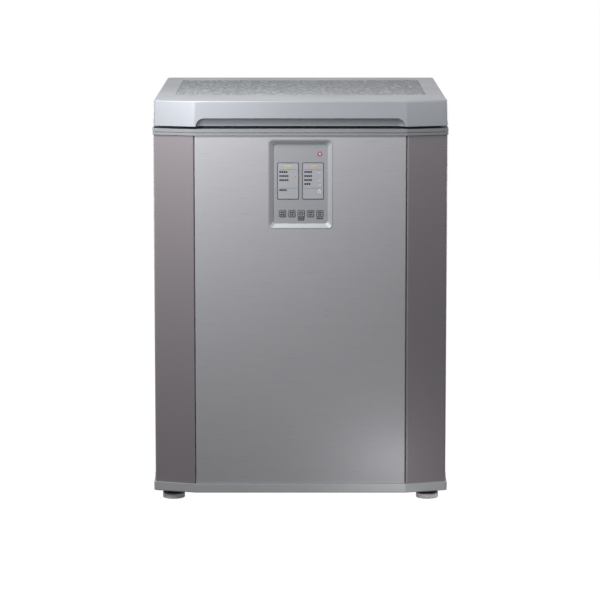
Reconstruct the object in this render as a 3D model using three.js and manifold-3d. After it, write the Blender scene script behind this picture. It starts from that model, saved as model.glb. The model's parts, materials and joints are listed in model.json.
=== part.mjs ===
// Chest-type kimchi refrigerator: an insulated well under a hinged lid, with the cooling machinery
// behind and below the well. Units are millimetres. +X is the viewer's right, +Y is the back, +Z is up.
// The origin lies on the floor, in the middle of the whole outline.

import * as THREE from 'three';
import { mergeVertices, toCreasedNormals } from 'three/addons/utils/BufferGeometryUtils.js';
import Module from 'manifold-3d';

const wasm = await Module();
wasm.setup();

// Clearances
const fit = 0.3;             // between pieces that rest on or against each other
const pinFit = 0.3;          // around a pin, a shaft or a stud
const wheelFit = 1.2;        // beside and over a turning wheel

// Levels, from the floor up
const floorClearance = 18;   // underside of the base frame
const baseHeight = 18;
const panelHeight = 700;
const collarHeight = 13;
const lidGap = 5.5;          // the dark joint that the gasket closes
const lidHeight = 50.5;

// Plan of the cabinet
const caseWidth = 584;
const caseDepth = 659.5;     // front panel to back panel
const cornerWidth = 82;      // each angled corner, from its crease to the side
const cornerSetback = 25;    // how far the angled corners fall back
const creaseBend = 3;
const shoulderBend = 6;
const rearBend = 2;

// Insulation between the outer faces and the well
const insulationSide = 64;
const insulationFront = 66.5;
const insulationRear = 63;
const insulationFloor = 69;
const insulationStep = 50;   // above the machine compartment
const insulationBulkhead = 52;

// Machine compartment, low at the back
const compartmentDepth = 200;
const compartmentHeight = 182;

// Outer sheets
const sheet = 1;
const seam = 1;              // open joint between the front panel and a corner
const returnDepth = 12;      // edges folded back beside the seam
const rearFlange = 16;
const hemDepth = 9;
const panelBend = 2.5;
const backEdge = 2;          // the back panel stops short of the side sheets
const beadCount = 3;
const beadPitch = 150;
const beadWidth = 26;
const beadHeight = 2.5;
const beadSlope = 5;
const beadMargin = 110;

// Base frame
const baseLip = 3;           // proud of the cabinet all round
const baseFrontLip = 3.5;
const baseWall = 5;
const baseFloor = 3;
const baseEdge = 2.5;        // rounded lower edge
const flareHeight = 16;
const flareTop = 0.7;
const flareFront = 14;       // the flare starts this far behind the shoulder
const bossRadius = 12;
const bossHeight = 28;

// Levelling feet
const footSide = 36;         // foot's middle to the side of the case
const footSetback = 47;
const padRadius = 22.3;
const padHeight = 12;
const padEdge = 1.5;
const knurlCount = 20;
const knurlDepth = 0.9;
const neckRadius = 12.5;
const studRadius = 5;
const studLength = 26;

// Rear rollers
const rollerSide = 42;       // wheel's middle to the side of the case
const rollerInset = 33;      // wheel centre to the back panel
const wheelRadius = 17;
const wheelWidth = 16;
const hubRadius = 7;
const hubWidth = 18;
const webWidth = 6;
const tyreDepth = 4;
const wheelCrown = 1;
const axleRadius = 3;
const axleHeadRadius = 5;
const axleHead = 2;
const forkSheet = 2;
const forkDepth = 40;
const forkDrop = 7;          // below the wheel's axis
const forkEar = 11;          // width of each riveted ear
const forkBend = 4;

// Collar around the mouth of the well
const collarLip = 1.5;
const collarFrontLip = 2.5;
const collarWall = 3;
const collarBar = 12;        // solid inner rim
const grooveRise = 4.2;
const grooveHeight = 2;
const grooveDepth = 1.6;
const rebateDepth = 2;

// Well
const tubWall = 1.5;
const tubCorner = 30;
const tubFlange = 8;
const tubFlangeSheet = 1.5;

// Evaporator tube round the well
const evaporatorTube = 4;    // radius
const evaporatorTurns = 5;
const evaporatorPitch = 62;
const evaporatorRise = 70;   // first turn above the step
const evaporatorGap = 0.6;
const riserSpacing = 40;
const riserRight = 100;
const riserStep = 20;        // the second riser passes behind the turns
const chaseGap = 2;
const tubeBend = 14;

// Control recess in the front panel
const bezelWidth = 126.6;
const bezelHeight = 176.6;
const bezelTop = 7.4;        // below the top of the front panel
const bezelCorner = 8;
const bezelRim = 1;
const bezelProud = 0.5;
const bezelSlope = 5.5;      // depth of the sloping walls
const bezelSide = 9.3;       // width of the bezel beside the fascia
const bezelEnd = 9.1;        // and above and below it
const bezelLip = 0.8;
const bezelBody = 9;         // how far the bezel reaches behind the front panel's face
const fasciaCorner = 3;
const fasciaLap = 2;
const fasciaSheet = 2.2;
const housingDepth = 15;
const housingWall = 2;
const windowMargin = 7.8;    // window to the fascia's side
const windowGap = 6.4;       // between the two windows
const windowRise = 48;       // window's lower edge above the fascia's lower edge
const windowDrop = 36.8;     // its upper edge below the fascia's upper edge
const windowCorner = 3;
const windowProud = 0.4;
const windowLap = 1.6;
const windowSheet = 1;
const lensSide = 15.7;       // indicator's middle to the fascia's right side
const lensDrop = 19.8;       // and below its upper edge
const lensRadius = 4.5;
const lensBore = 1.6;
const lensProud = 0.6;
const lensFlange = 1;
const keyCount = 5;
const keyPitch = 18.5;
const keyOffset = 1.3;       // the row sits this far right of the middle
const keyRise = 20;
const keySize = 14;
const keyCorner = 2.5;
const keyProud = 0.8;
const keyEdge = 0.5;
const keyLap = 1.2;
const keyFlange = 1;
const keyStem = 3;
const keyTravel = 0.5;
const boardSheet = 1.6;
const boardMargin = 5;
const boardSetback = 13.5;   // board face behind the front panel's face
const switchSize = 6;
const displayModule = 3;
const displayMargin = 1;
const postRadius = 3;

// Compressor and its mounting plate
const compressorSide = 157;  // compressor's middle to the right side of the case
const compressorY = 94;      // centre in front of the back panel's face
const shellRadius = 74;
const shellSeam = 4;
const seamEase = 1;          // slope at the edges of the welded seam
const shellBottom = 37;
const shellBase = 24;        // height of the rounded bottom
const shellWaist = 103;
const shellShoulder = 150;
const shellTop = 187;
const domeSteps = 4;
const footPlateLength = 180;
const footPlateWidth = 132;
const footPlateSheet = 3;
const footPlateLevel = 36.6;
const footPlateCorner = 14;
const mountX = 75;
const mountY = 52;
const grommetRadius = 12;
const grommetNeck = 8;
const grommetHead = 10;
const grommetHeadHeight = 3.5;
const grommetEdge = 1;
const mountPin = 4;
const mountPinRise = 25;
const stubLength = 14;
const stubRoot = 4;          // how deep the stub is brazed into the shell
const stubRadius = 5;
const stubLevel = 140;
const stubTurn = 20;         // degrees off the X axis
const plateSide = 70;        // end of the mounting plate to the side of the case
const plateSheet = 1.5;
const plateFront = 17;       // behind the compartment's front wall
const plateRear = 13;        // in front of the back panel's face
const plateFlange = 9;
const relayDepth = 30;
const relayWidth = 44;
const relayHeight = 42;
const relayLevel = 60;
const relayCorner = 5;
const relaySides = 48;

// Condenser, fan and pipework
const condenserTube = 3;     // radius
const condenserPasses = 5;
const condenserPitch = 29;
const condenserBottom = 42;
const condenserSpacing = 64; // right layer to the fan plate
const condenserLayer = 50;   // distance between its two layers
const condenserFront = 36;   // behind the compartment's front wall
const condenserRun = 134;
const finCount = 2;
const finSheet = 1.2;
const finMargin = 10;
const fanSpacing = 171;      // fan plate to the compressor's middle
const fanLevel = 106;
const fanPlateSheet = 2;
const fanPlateFront = 22;    // behind the compartment's front wall
const fanPlateRear = 17;     // in front of the back panel's face
const fanPlateTop = 190;
const fanPlateCorner = 4;
const ringRadius = 72;
const ringWall = 2.5;
const ringDepth = 30;
const bellRadius = 5;
const spiderSheet = 3;
const spiderArms = 3;
const spiderArmWidth = 8;
const spiderHub = 20;
const spiderRoot = 2;        // arms run this far into the hub
const spiderBore = 8;
const motorRadius = 24;
const motorLength = 26;
const motorEdge = 2;
const motorCap = 17;         // radius of the end cap
const motorShoulder = 5;     // the body tapers to its end cap over this length
const shaftRadius = 2.5;
const rotorHub = 17;
const rotorHubLength = 18;
const rotorHubEdge = 3;
const shaftStop = 6;         // hub front to the end of the shaft
const bladeCount = 5;
const bladeTip = 68;
const bladeRoot = 14;
const bladeChordRoot = 32;
const bladeChordTip = 44;
const bladePitchRoot = 42;
const bladePitchTip = 24;
const bladeThickness = 2.4;
const bladeThinning = 0.33;  // share of the thickness lost towards the tip
const bladeSweep = 14;       // degrees, root to tip
const bladeCamber = 0.08;    // share of the chord
const bladeOutline = [[-0.5, 0], [-0.2, -0.5], [0.2, -0.5], [0.5, 0], [0.2, 0.5], [-0.2, 0.5]];
const rotorGap = 4;          // between the blades' rear edge and the spider
const dryerRadius = 8;
const dryerLength = 86;
const dryerNeck = 4;         // straight outlet
const dryerCone = 12;        // each spun cone
const dryerInlet = 6;        // straight inlet
const capillaryRoot = 3;     // how far the capillary goes into the outlet
const dryerLead = 31.7;      // the dryer starts this far left of the condenser's right layer
const dryerRise = 32;         // above the condenser's highest pass
const pipeLane = 10;         // pipes run this far behind the compartment's front wall
const pipeRadius = 3;
const suctionRadius = 4;
const suctionLevel = 202;
const suctionBend = 12;
const capillaryRadius = 1.2;
const capillaryLevel = 204;

// Mains electronics under the compartment's ceiling
const boardBoxWidth = 155;
const boardBoxDepth = 140;
const boardBoxHeight = 36;
const boardBoxSpacing = 104; // box's middle to the fan plate
const boardBoxFront = 34;
const boardBoxWall = 2;
const boardBoxCorner = 4;
const boardInset = 1;        // board to the box's wall
const transformerSize = 36;
const transformerHeight = 24;
const capacitorRadius = 8;
const capacitorHeight = 20;
const capacitorPitch = 20;
const capacitorCount = 3;
const relayBlockLength = 18;
const relayBlockWidth = 20;
const relayBlockHeight = 15;
const relayBlockPitch = 26;
const partsMargin = 12;      // parts to the board's edges

// Rear cover
const louvreWidth = 140;
const louvreHeight = 7;
const louvreReach = 6;
const louvreCount = 6;
const louvrePitch = 22;
const louvreBottom = 24;
const louvreX = 130;
const glandRadius = 9;
const glandFlange = 14;
const glandFlangeSheet = 3;
const glandLength = 12;
const glandBore = 4.5;
const glandEdge = 2;         // chamfers
const glandSide = 37;        // gland's middle to the side of the case
const glandRise = 30;

// Lid
const lidLip = 0.5;          // proud of the cabinet's sides
const lidRearSetback = 13;   // lid's rear face in front of the back panel's face
const lidDraft = 2;
const lidEdge = 6;
const lidWall = 3;
const lidRoof = 3.5;
const cavityCorner = 4;
const gripBeam = 28;         // solid front rail that the grip is scooped from
const gripMargin = 3;        // end of the scoop to the crease
const gripEnd = 18;          // length of each rounded end
const gripRadius = 16.5;     // height of the scoop, open at the lid's lower edge
const gripDepth = 14;
const insetSide = 39.5;      // to the lid's side
const insetFront = 158;      // behind the lid's front face
const insetRear = 85;        // in front of the lid's rear face
const insetCorner = 4;
const insetRecess = 2.2;
const insetSheet = 1.5;
const linerSheet = 1.5;
const linerRise = 2.5;       // liner's flange above the lid's lower edge
const plugGap = 10;          // plug to the well's wall
const plugDepth = 32;
const gasketInset = 4;
const gasketWidth = 18;
const gasketCorner = 14;
const gasketWaist = 2;
const gasketWaistHeight = 2.4;

// Hinges
const hingeSide = 102;       // hinge's middle to the side of the case
const hingeAxisBack = 13;    // behind the back panel's face
const hingeAxisDrop = 2.5;   // below the lid's lower edge
const hingePin = 4;
const hingePinHead = 6.5;
const hingePinRivet = 5.5;
const hingePinHeadSheet = 2;
const knuckleRadius = 7;
const leafSheet = 2.5;
const leafWidth = 48;
const leafRise = 4;
const leafHeight = 36;
const leafCorner = 4;
const earSheet = 3;
const leafEar = 15;          // inner face of a leaf ear from the hinge's middle
const leafArmUnder = 200;    // degrees round the knuckle where the arm's edges meet it
const leafArmOver = 81;
const leafArmElbow = [-8.4, 8];
const bracketWidth = 56;
const bracketDrop = 3;       // below the top of the back panel
const bracketHeight = 42;
const bracketArmOver = 24;   // degrees round the knuckle
const springWire = 1.1;
const springRadius = 6.2;
const springTurns = 6;
const springSpan = 24;
const springLeg = 16;
const springShortLeg = 5.3;
const springHalfTurn = 0.5;  // the wire ends on the far side from where it starts
const coverRadius = 14;
const coverWall = 2;
const coverWidth = 68;
const coverBottom = 68;      // below the axis
const coverSlope = 16;
const coverOpening = 40;     // degrees above level where the cover's slot starts
const coverRoof = 120;       // degrees above level where its cheeks end
const coverSlotEnd = 190;    // degrees above level where the slot ends, over the collar
const coverSlotDrop = 5;
const coverSteps = 8;

// Faceting
const bendSteps = 2;
const cornerSteps = 3;
const smallCornerSteps = 2;
const roundSides = 16;
const smallSides = 10;
const largeSides = 20;
const pipeSides = 6;
const wireSides = 4;
const coilSteps = 6;         // spring segments per turn
const scoopSteps = 4;
const creaseAngle = 0.6;
const weldDistance = 1e-4;

// Positions that follow from the sizes
const baseBottom = floorClearance;
const baseTop = baseBottom + baseHeight;
const floorTop = baseBottom + baseFloor;
const panelTop = baseTop + panelHeight;
const collarTop = panelTop + collarHeight;
const lidBottom = collarTop + lidGap;
const lidTop = lidBottom + lidHeight;
const hingeReach = hingeAxisBack + coverRadius;
const wholeDepth = baseFrontLip + caseDepth + hingeReach;
const foremost = -wholeDepth / 2;
const caseFront = foremost + baseFrontLip;
const caseRear = caseFront + caseDepth;
const caseHalf = caseWidth / 2;
const facetHalf = caseHalf - cornerWidth;
const innerRear = caseRear - 2 * (sheet + fit);
const footX = caseHalf - footSide;
const rollerX = caseHalf - rollerSide;
const glandX = caseHalf - glandSide;
const hingeX = caseHalf - hingeSide;
const compressorX = caseHalf - compressorSide;
const fanX = compressorX - fanSpacing;
const condenserX = fanX - condenserSpacing;
const dryerX = condenserX - dryerLead;
const boardBoxX = fanX - boardBoxSpacing;
const compartmentFront = caseRear - compartmentDepth;
const compartmentTop = baseTop + compartmentHeight;
const tubHalf = caseHalf - insulationSide;
const tubFront = caseFront + insulationFront;
const tubRear = caseRear - insulationRear;
const tubFloor = baseTop + insulationFloor;
const stepLevel = compartmentTop + insulationStep;
const stepFront = compartmentFront - insulationBulkhead;
const tubRim = collarTop - rebateDepth + fit + tubFlangeSheet;
const lidRear = caseRear - lidRearSetback;
const hingeY = caseRear + hingeAxisBack;
const hingeZ = lidBottom - hingeAxisDrop;

// ---- Geometry helpers ----

const degrees = (angle) => THREE.MathUtils.degToRad(angle);

function signedVolume(geometry) {
  const position = geometry.getAttribute('position');
  const index = geometry.getIndex().array;
  const corner = [0, 1, 2].map(() => new THREE.Vector3());
  let volume = 0;
  for (let i = 0; i < index.length; i += 3) {
    corner.forEach((point, k) => point.fromBufferAttribute(position, index[i + k]));
    volume += corner[0].dot(corner[1].cross(corner[2])) / 6;
  }
  return volume;
}

// Shares vertices, drops collapsed triangles and turns the faces outwards
function weld(geometry) {
  const bare = new THREE.BufferGeometry();
  bare.setAttribute('position', geometry.getAttribute('position').clone());
  bare.setIndex(geometry.getIndex());
  const merged = mergeVertices(bare, weldDistance);
  const index = merged.getIndex().array;
  const kept = [];
  for (let i = 0; i < index.length; i += 3) {
    const [a, b, c] = [index[i], index[i + 1], index[i + 2]];
    if (a !== b && b !== c && c !== a) kept.push(a, b, c);
  }
  merged.setIndex(kept);
  if (signedVolume(merged) < 0) merged.setIndex(kept.reverse());
  return merged;
}

function manifoldOf(geometry) {
  const closed = weld(geometry);
  return new wasm.Manifold(new wasm.Mesh({
    numProp: 3,
    vertProperties: new Float32Array(closed.getAttribute('position').array),
    triVerts: new Uint32Array(closed.getIndex().array),
  }));
}

function geometryOf(manifold) {
  const mesh = manifold.getMesh();
  const geometry = new THREE.BufferGeometry();
  geometry.setAttribute('position', new THREE.BufferAttribute(mesh.vertProperties, 3));
  geometry.setIndex(new THREE.BufferAttribute(mesh.triVerts, 1));
  return geometry;
}

function combine(operation, first, others) {
  const pieces = others.flat().map(manifoldOf);
  return geometryOf(pieces.reduce((result, piece) => result[operation](piece), manifoldOf(first)));
}

const join = (first, ...others) => combine('add', first, others);
const cut = (first, ...others) => combine('subtract', first, others);

// Rounds the corners of a path. A corner is { at, radius }, and a closed path joins its ends.
// A point on an arc keeps the arc's direction there as its own property, along.
function fillet(corners, closed, steps) {
  const count = corners.length;
  const path = [];
  corners.forEach(({ at, radius }, i) => {
    const open = !closed && (i === 0 || i === count - 1);
    if (open || !radius) {
      path.push(at.clone());
      return;
    }
    const back = corners[(i + count - 1) % count].at.clone().sub(at).normalize();
    const ahead = corners[(i + 1) % count].at.clone().sub(at).normalize();
    const half = back.angleTo(ahead) / 2;
    const reach = radius / Math.tan(half);
    const bisector = back.clone().add(ahead).normalize();
    const centre = at.clone().addScaledVector(bisector, radius / Math.sin(half));
    const from = at.clone().addScaledVector(back, reach).sub(centre);
    const to = at.clone().addScaledVector(ahead, reach).sub(centre);
    const sweep = Math.PI - 2 * half;
    const across = to.clone().addScaledVector(from, -Math.cos(sweep)).divideScalar(Math.sin(sweep));
    for (let k = 0; k <= steps; k += 1) {
      const angle = (sweep * k) / steps;
      const point = centre.clone().addScaledVector(from, Math.cos(angle));
      point.addScaledVector(across, Math.sin(angle));
      const along = across.clone().multiplyScalar(Math.cos(angle));
      point.along = along.addScaledVector(from, -Math.sin(angle)).normalize();
      path.push(point);
    }
  });
  return path;
}

// A flat outline from corners [x, y, radius]
function outline(corners, closed = true, steps = cornerSteps) {
  const path = corners.map(([x, y, radius = 0]) => ({ at: new THREE.Vector3(x, y, 0), radius }));
  return fillet(path, closed, steps).map(({ x, y }) => new THREE.Vector2(x, y));
}

const rectangle = (x0, x1, y0, y1, radius = 0, steps = cornerSteps) =>
  outline([[x0, y0, radius], [x1, y0, radius], [x1, y1, radius], [x0, y1, radius]], true, steps);

const centred = (x, y, width, height, radius = 0, steps = smallCornerSteps) =>
  rectangle(x - width / 2, x + width / 2, y - height / 2, y + height / 2, radius, steps);

const circle = (x, y, radius, sides = roundSides) =>
  Array.from({ length: sides }, (_, i) => {
    const angle = (2 * Math.PI * i) / sides;
    return new THREE.Vector2(x + radius * Math.cos(angle), y + radius * Math.sin(angle));
  });

// Radius of a faceted hole whose flats stay clear of a round piece
const clearOf = (radius, sides) => radius / Math.cos(Math.PI / sides);

// Moves each edge of a convex anticlockwise outline inwards
function inset(corners, distance) {
  const count = corners.length;
  const edges = corners.map(([x, y], i) => {
    const [nextX, nextY] = corners[(i + 1) % count];
    const along = new THREE.Vector2(nextX - x, nextY - y).normalize();
    const inward = new THREE.Vector2(-along.y, along.x);
    return { inward, reach: inward.x * x + inward.y * y + distance };
  });
  return corners.map(([, , radius = 0], i) => {
    const before = edges[(i + count - 1) % count];
    const after = edges[i];
    const spread = before.inward.cross(after.inward);
    const x = (before.reach * after.inward.y - after.reach * before.inward.y) / spread;
    const y = (after.reach * before.inward.x - before.reach * after.inward.x) / spread;
    return [x, y, radius ? Math.max(radius - distance, fit) : 0];
  });
}

// Upright prism, and the same lying along X (outline in Y, Z) or along Y (outline in X, Z)
function upright(points, from, to, holes = []) {
  const shape = new THREE.Shape(points);
  shape.holes = holes.map((hole) => new THREE.Path(hole));
  const geometry = new THREE.ExtrudeGeometry(shape, { depth: to - from, bevelEnabled: false });
  return geometry.translate(0, 0, from);
}

const layAlongX = new THREE.Matrix4().makeBasis(
  new THREE.Vector3(0, 1, 0), new THREE.Vector3(0, 0, 1), new THREE.Vector3(1, 0, 0));
const layAlongY = new THREE.Matrix4().makeBasis(
  new THREE.Vector3(1, 0, 0), new THREE.Vector3(0, 0, 1), new THREE.Vector3(0, -1, 0));

const alongX = (points, from, to, holes) => upright(points, from, to, holes).applyMatrix4(layAlongX);
const alongY = (points, from, to, holes) => upright(points, -to, -from, holes).applyMatrix4(layAlongY);

const block = (x0, x1, y0, y1, z0, z1) => upright(rectangle(x0, x1, y0, y1), z0, z1);

// A turned piece from [radius, height] points that run anticlockwise, standing on Z
function turned(profile, sides = roundSides) {
  const points = profile.map(([radius, height]) => new THREE.Vector2(radius, height));
  return new THREE.LatheGeometry(points, sides).rotateX(Math.PI / 2);
}

const rod = (radius, from, to, sides = roundSides) =>
  turned([[0, from], [radius, from], [radius, to], [0, to]], sides);

const ring = (inner, outer, from, to, sides = roundSides) =>
  turned([[inner, from], [outer, from], [outer, to], [inner, to], [inner, from]], sides);

const lieAlongX = (geometry) => geometry.rotateY(Math.PI / 2);
const lieAlongY = (geometry) => geometry.rotateX(-Math.PI / 2);

const mirrored = (geometry) => geometry.clone().scale(-1, 1, 1);

// Closed skin over matching rings of points, with a fan on each end
function loft(rings) {
  const count = rings[0].length;
  const last = rings.length - 1;
  const total = (loop) => loop.reduce((sum, point) => sum.add(point), new THREE.Vector3());
  const middle = (loop) => total(loop).divideScalar(count);
  const points = [...rings.flat(), middle(rings[0]), middle(rings[last])];
  const index = [];
  for (let k = 0; k < count; k += 1) {
    const next = (k + 1) % count;
    for (let row = 0; row < last; row += 1) {
      const low = row * count;
      const high = low + count;
      index.push(low + k, low + next, high + next, low + k, high + next, high + k);
    }
    index.push(rings.length * count, next, k);
    index.push(rings.length * count + 1, last * count + k, last * count + next);
  }
  const geometry = new THREE.BufferGeometry().setFromPoints(points);
  geometry.setIndex(index);
  return geometry;
}

const ringAt = (points, level) => points.map(({ x, y }) => new THREE.Vector3(x, y, level));

// Round tube along a path of points
function pipe(path, radius, sides = pipeSides) {
  const heading = (i) => {
    if (path[i].along) return path[i].along;
    const before = path[Math.max(i - 1, 0)];
    const after = path[Math.min(i + 1, path.length - 1)];
    return after.clone().sub(before).normalize();
  };
  const start = heading(0);
  const reference = Math.abs(start.z) < 0.9 ? new THREE.Vector3(0, 0, 1) : new THREE.Vector3(1, 0, 0);
  let side = reference.cross(start).normalize();
  let previous = start;
  const rings = path.map((point, i) => {
    const along = heading(i);
    const turn = new THREE.Quaternion().setFromUnitVectors(previous, along);
    side = side.clone().applyQuaternion(turn);
    previous = along;
    const up = along.clone().cross(side);
    return circle(0, 0, radius, sides).map(({ x, y }) =>
      point.clone().addScaledVector(side, x).addScaledVector(up, y));
  });
  return loft(rings);
}

// Tube through corners [x, y, z], every bend with the same radius
function bentPipe(corners, radius, bend, sides = pipeSides, steps = bendSteps) {
  const path = corners.map(([x, y, z]) => ({ at: new THREE.Vector3(x, y, z), radius: bend }));
  return pipe(fillet(path, false, steps), radius, sides);
}

// Outline of a folded sheet. Its outer face follows corners [x, y, bend], and it is thick to the left.
function folded(corners, thickness, steps = bendSteps) {
  const normal = (i) => {
    const [x0, y0] = corners[i];
    const [x1, y1] = corners[i + 1];
    return new THREE.Vector2(y0 - y1, x1 - x0).normalize();
  };
  const last = corners.length - 1;
  const inner = corners.map(([x, y, bend = 0], i) => {
    const before = normal(Math.max(i - 1, 0));
    const after = normal(Math.min(i, last - 1));
    const shift = before.clone().add(after).divideScalar(1 + before.dot(after));
    return [x + shift.x * thickness, y + shift.y * thickness, Math.max(bend - thickness, fit)];
  });
  return [...outline(corners, false, steps), ...outline(inner, false, steps).reverse()];
}

// Plan of the body: flat front, two angled corners, straight sides and back
function plan(sideLip, frontLip, rear) {
  const front = caseFront - frontLip;
  const half = caseHalf + sideLip;
  const shoulder = front + cornerSetback;
  return [
    [-facetHalf, front, creaseBend],
    [facetHalf, front, creaseBend],
    [half, shoulder, shoulderBend],
    [half, rear, rearBend],
    [-half, rear, rearBend],
    [-half, shoulder, shoulderBend],
  ];
}

const planOutline = (corners) => outline(corners, true, bendSteps);

// ---- Assembly ----

const kimchiRefrigerator = new THREE.Group();
kimchiRefrigerator.name = 'kimchi_refrigerator';

const finishes = {
  baseGrey: { color: 0x828487, roughness: 0.5, metalness: 0.0 },
  taupeSheet: { color: 0x6d696b, roughness: 0.4, metalness: 0.3 },
  brushedSteel: { color: 0xa2a3a7, roughness: 0.35, metalness: 0.9 },
  zincSheet: { color: 0xa9adb0, roughness: 0.45, metalness: 0.8 },
  collarGrey: { color: 0x9a9da1, roughness: 0.45, metalness: 0.0 },
  wellMetal: { color: 0xc8cacc, roughness: 0.35, metalness: 0.8 },
  foam: { color: 0xe6d9a8, roughness: 0.9, metalness: 0.0 },
  aluminiumTube: { color: 0xbfc2c4, roughness: 0.4, metalness: 0.9 },
  copper: { color: 0xb26b43, roughness: 0.35, metalness: 1.0 },
  blackEnamel: { color: 0x1b1c1e, roughness: 0.4, metalness: 0.1 },
  rubber: { color: 0x1a1a1a, roughness: 0.85, metalness: 0.0 },
  blackPlastic: { color: 0x26282a, roughness: 0.55, metalness: 0.0 },
  greyPlastic: { color: 0x7c7f83, roughness: 0.5, metalness: 0.0 },
  circuitBoard: { color: 0x2f6b3d, roughness: 0.5, metalness: 0.0 },
  window: { color: 0xa6a8ae, roughness: 0.25, metalness: 0.0 },
  lens: { color: 0xb0486a, roughness: 0.2, metalness: 0.0 },
  key: { color: 0x88898d, roughness: 0.4, metalness: 0.0 },
  silverAbs: { color: 0xb3b6bc, roughness: 0.45, metalness: 0.1 },
  lidPattern: { color: 0x9da2a7, roughness: 0.3, metalness: 0.1 },
  liner: { color: 0xd9dadb, roughness: 0.5, metalness: 0.0 },
  steel: { color: 0x9b9ea2, roughness: 0.35, metalness: 0.9 },
  paleGrey: { color: 0xa3a5a6, roughness: 0.5, metalness: 0.0 },
};

function place(name, geometry, finish, position = [0, 0, 0]) {
  const shape = toCreasedNormals(weld(geometry), creaseAngle);
  const mesh = new THREE.Mesh(shape, new THREE.MeshStandardMaterial(finishes[finish]));
  mesh.name = name;
  mesh.position.set(...position);
  kimchiRefrigerator.add(mesh);
}

const sides = [
  { side: 'left', sign: -1 },
  { side: 'right', sign: 1 },
];

// ---- Base frame, levelling feet and rear rollers ----

const footY = foremost + footSetback;
const rollerY = caseRear - rollerInset;
const cheekInner = hubWidth / 2 + wheelFit;
const cheekOuter = cheekInner + forkSheet;
const forkTop = 2 * wheelRadius + wheelFit + forkSheet;

function baseFrame() {
  const corners = plan(baseLip, baseFrontLip, caseRear + baseLip);
  const lower = ringAt(planOutline(inset(corners, baseEdge)), baseBottom);
  const upper = [baseBottom + baseEdge, baseTop].map((level) => ringAt(planOutline(corners), level));
  const hollow = upright(planOutline(inset(corners, baseWall)), floorTop, baseTop + fit);
  const flareStart = caseFront + cornerSetback + flareFront;
  const flare = alongY(outline([
    [caseHalf + fit, baseTop - fit],
    [caseHalf + baseLip, baseTop - fit],
    [caseHalf + baseLip, baseTop],
    [caseHalf + fit + (baseLip + flareTop) / 3, baseTop + flareHeight / 3],
    [caseHalf + fit + flareTop, baseTop + flareHeight],
    [caseHalf + fit, baseTop + flareHeight],
  ]), flareStart, caseRear);
  const bosses = sides.map(({ sign }) =>
    rod(bossRadius, baseBottom, baseBottom + bossHeight).translate(sign * footX, footY, 0));
  const studHoles = sides.map(({ sign }) =>
    rod(studRadius + pinFit, baseBottom - 1, baseBottom + bossHeight + 1)
      .translate(sign * footX, footY, 0));
  const wheelWells = sides.map(({ sign }) => {
    const x = sign * rollerX;
    const reach = forkDepth / 2 + fit;
    const half = cheekOuter + axleHead / 2 + fit;
    return block(x - half, x + half, rollerY - reach, rollerY + reach, 0, baseTop);
  });
  const tray = cut(loft([lower, ...upper]), hollow);
  return cut(join(tray, flare, mirrored(flare), bosses), studHoles, wheelWells);
}

function levellingFoot() {
  const star = (radius) => Array.from({ length: 2 * knurlCount }, (_, i) => {
    const angle = (Math.PI * i) / knurlCount;
    const reach = radius - (i % 2) * knurlDepth;
    return new THREE.Vector2(reach * Math.cos(angle), reach * Math.sin(angle));
  });
  const pad = loft([
    ringAt(star(padRadius - padEdge), 0),
    ringAt(star(padRadius), padEdge),
    ringAt(star(padRadius), padHeight - padEdge),
    ringAt(star(padRadius - padEdge), padHeight),
  ]);
  const neck = rod(neckRadius, padHeight - 1, baseBottom - fit);
  const stud = rod(studRadius, padHeight, baseBottom + studLength, pipeSides);
  return join(pad, neck, stud);
}

function roller() {
  const half = wheelWidth / 2;
  const rim = wheelRadius - tyreDepth;
  const bore = axleRadius + pinFit;
  return lieAlongX(turned([
    [bore, -hubWidth / 2], [hubRadius, -hubWidth / 2], [rim, -webWidth / 2], [rim, -half],
    [wheelRadius - wheelCrown, -half], [wheelRadius, 0], [wheelRadius - wheelCrown, half], [rim, half],
    [rim, webWidth / 2], [hubRadius, hubWidth / 2], [bore, hubWidth / 2], [bore, -hubWidth / 2],
  ]));
}

// Folded fork with two ears riveted to the base floor, and the axle riveted through its cheeks
function rollerBracket() {
  const bottom = wheelRadius - forkDrop;
  const fork = alongY(folded([
    [cheekOuter, bottom],
    [cheekOuter, forkTop, forkBend],
    [-cheekOuter, forkTop, forkBend],
    [-cheekOuter, bottom],
  ], forkSheet), rollerY - forkDepth / 2, rollerY + forkDepth / 2);
  const lug = floorTop + fit;
  const ears = sides.map(({ sign }) => {
    const ear = block(cheekOuter - forkSheet / 2, cheekOuter + forkEar, rollerY - forkDepth / 2,
      rollerY + forkDepth / 2, lug, lug + forkSheet);
    return sign > 0 ? ear : mirrored(ear);
  });
  const axle = lieAlongX(rod(axleRadius, -cheekOuter, cheekOuter, smallSides));
  const heads = sides.map(({ sign }) =>
    lieAlongX(rod(axleHeadRadius, -axleHead / 2, axleHead / 2, smallSides))
      .translate(sign * cheekOuter, 0, 0));
  const pin = join(axle, heads).translate(0, rollerY, wheelRadius);
  return join(fork, ears, pin);
}

place('base_frame', baseFrame(), 'baseGrey');
sides.forEach(({ side, sign }) => {
  place(`levelling_foot_${side}`, levellingFoot(), 'paleGrey', [sign * footX, footY, 0]);
  place(`roller_${side}`, roller(), 'rubber', [sign * rollerX, rollerY, wheelRadius]);
  place(`roller_bracket_${side}`, rollerBracket(), 'zincSheet', [sign * rollerX, 0, 0]);
});

// ---- Outer sheets ----

const sheetBottom = baseTop + fit;
const bezelMiddle = panelTop - bezelTop - bezelHeight / 2;

// One bent sheet: seam return, angled corner, side and rear flange
function outerCase() {
  const edge = facetHalf + seam / 2;
  const rear = caseRear - sheet - fit;
  return upright(folded([
    [edge, caseFront + returnDepth],
    [edge, caseFront, creaseBend],
    [caseHalf, caseFront + cornerSetback, shoulderBend],
    [caseHalf, rear, rearBend],
    [caseHalf - rearFlange, rear],
  ], sheet), sheetBottom, panelTop);
}

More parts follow.
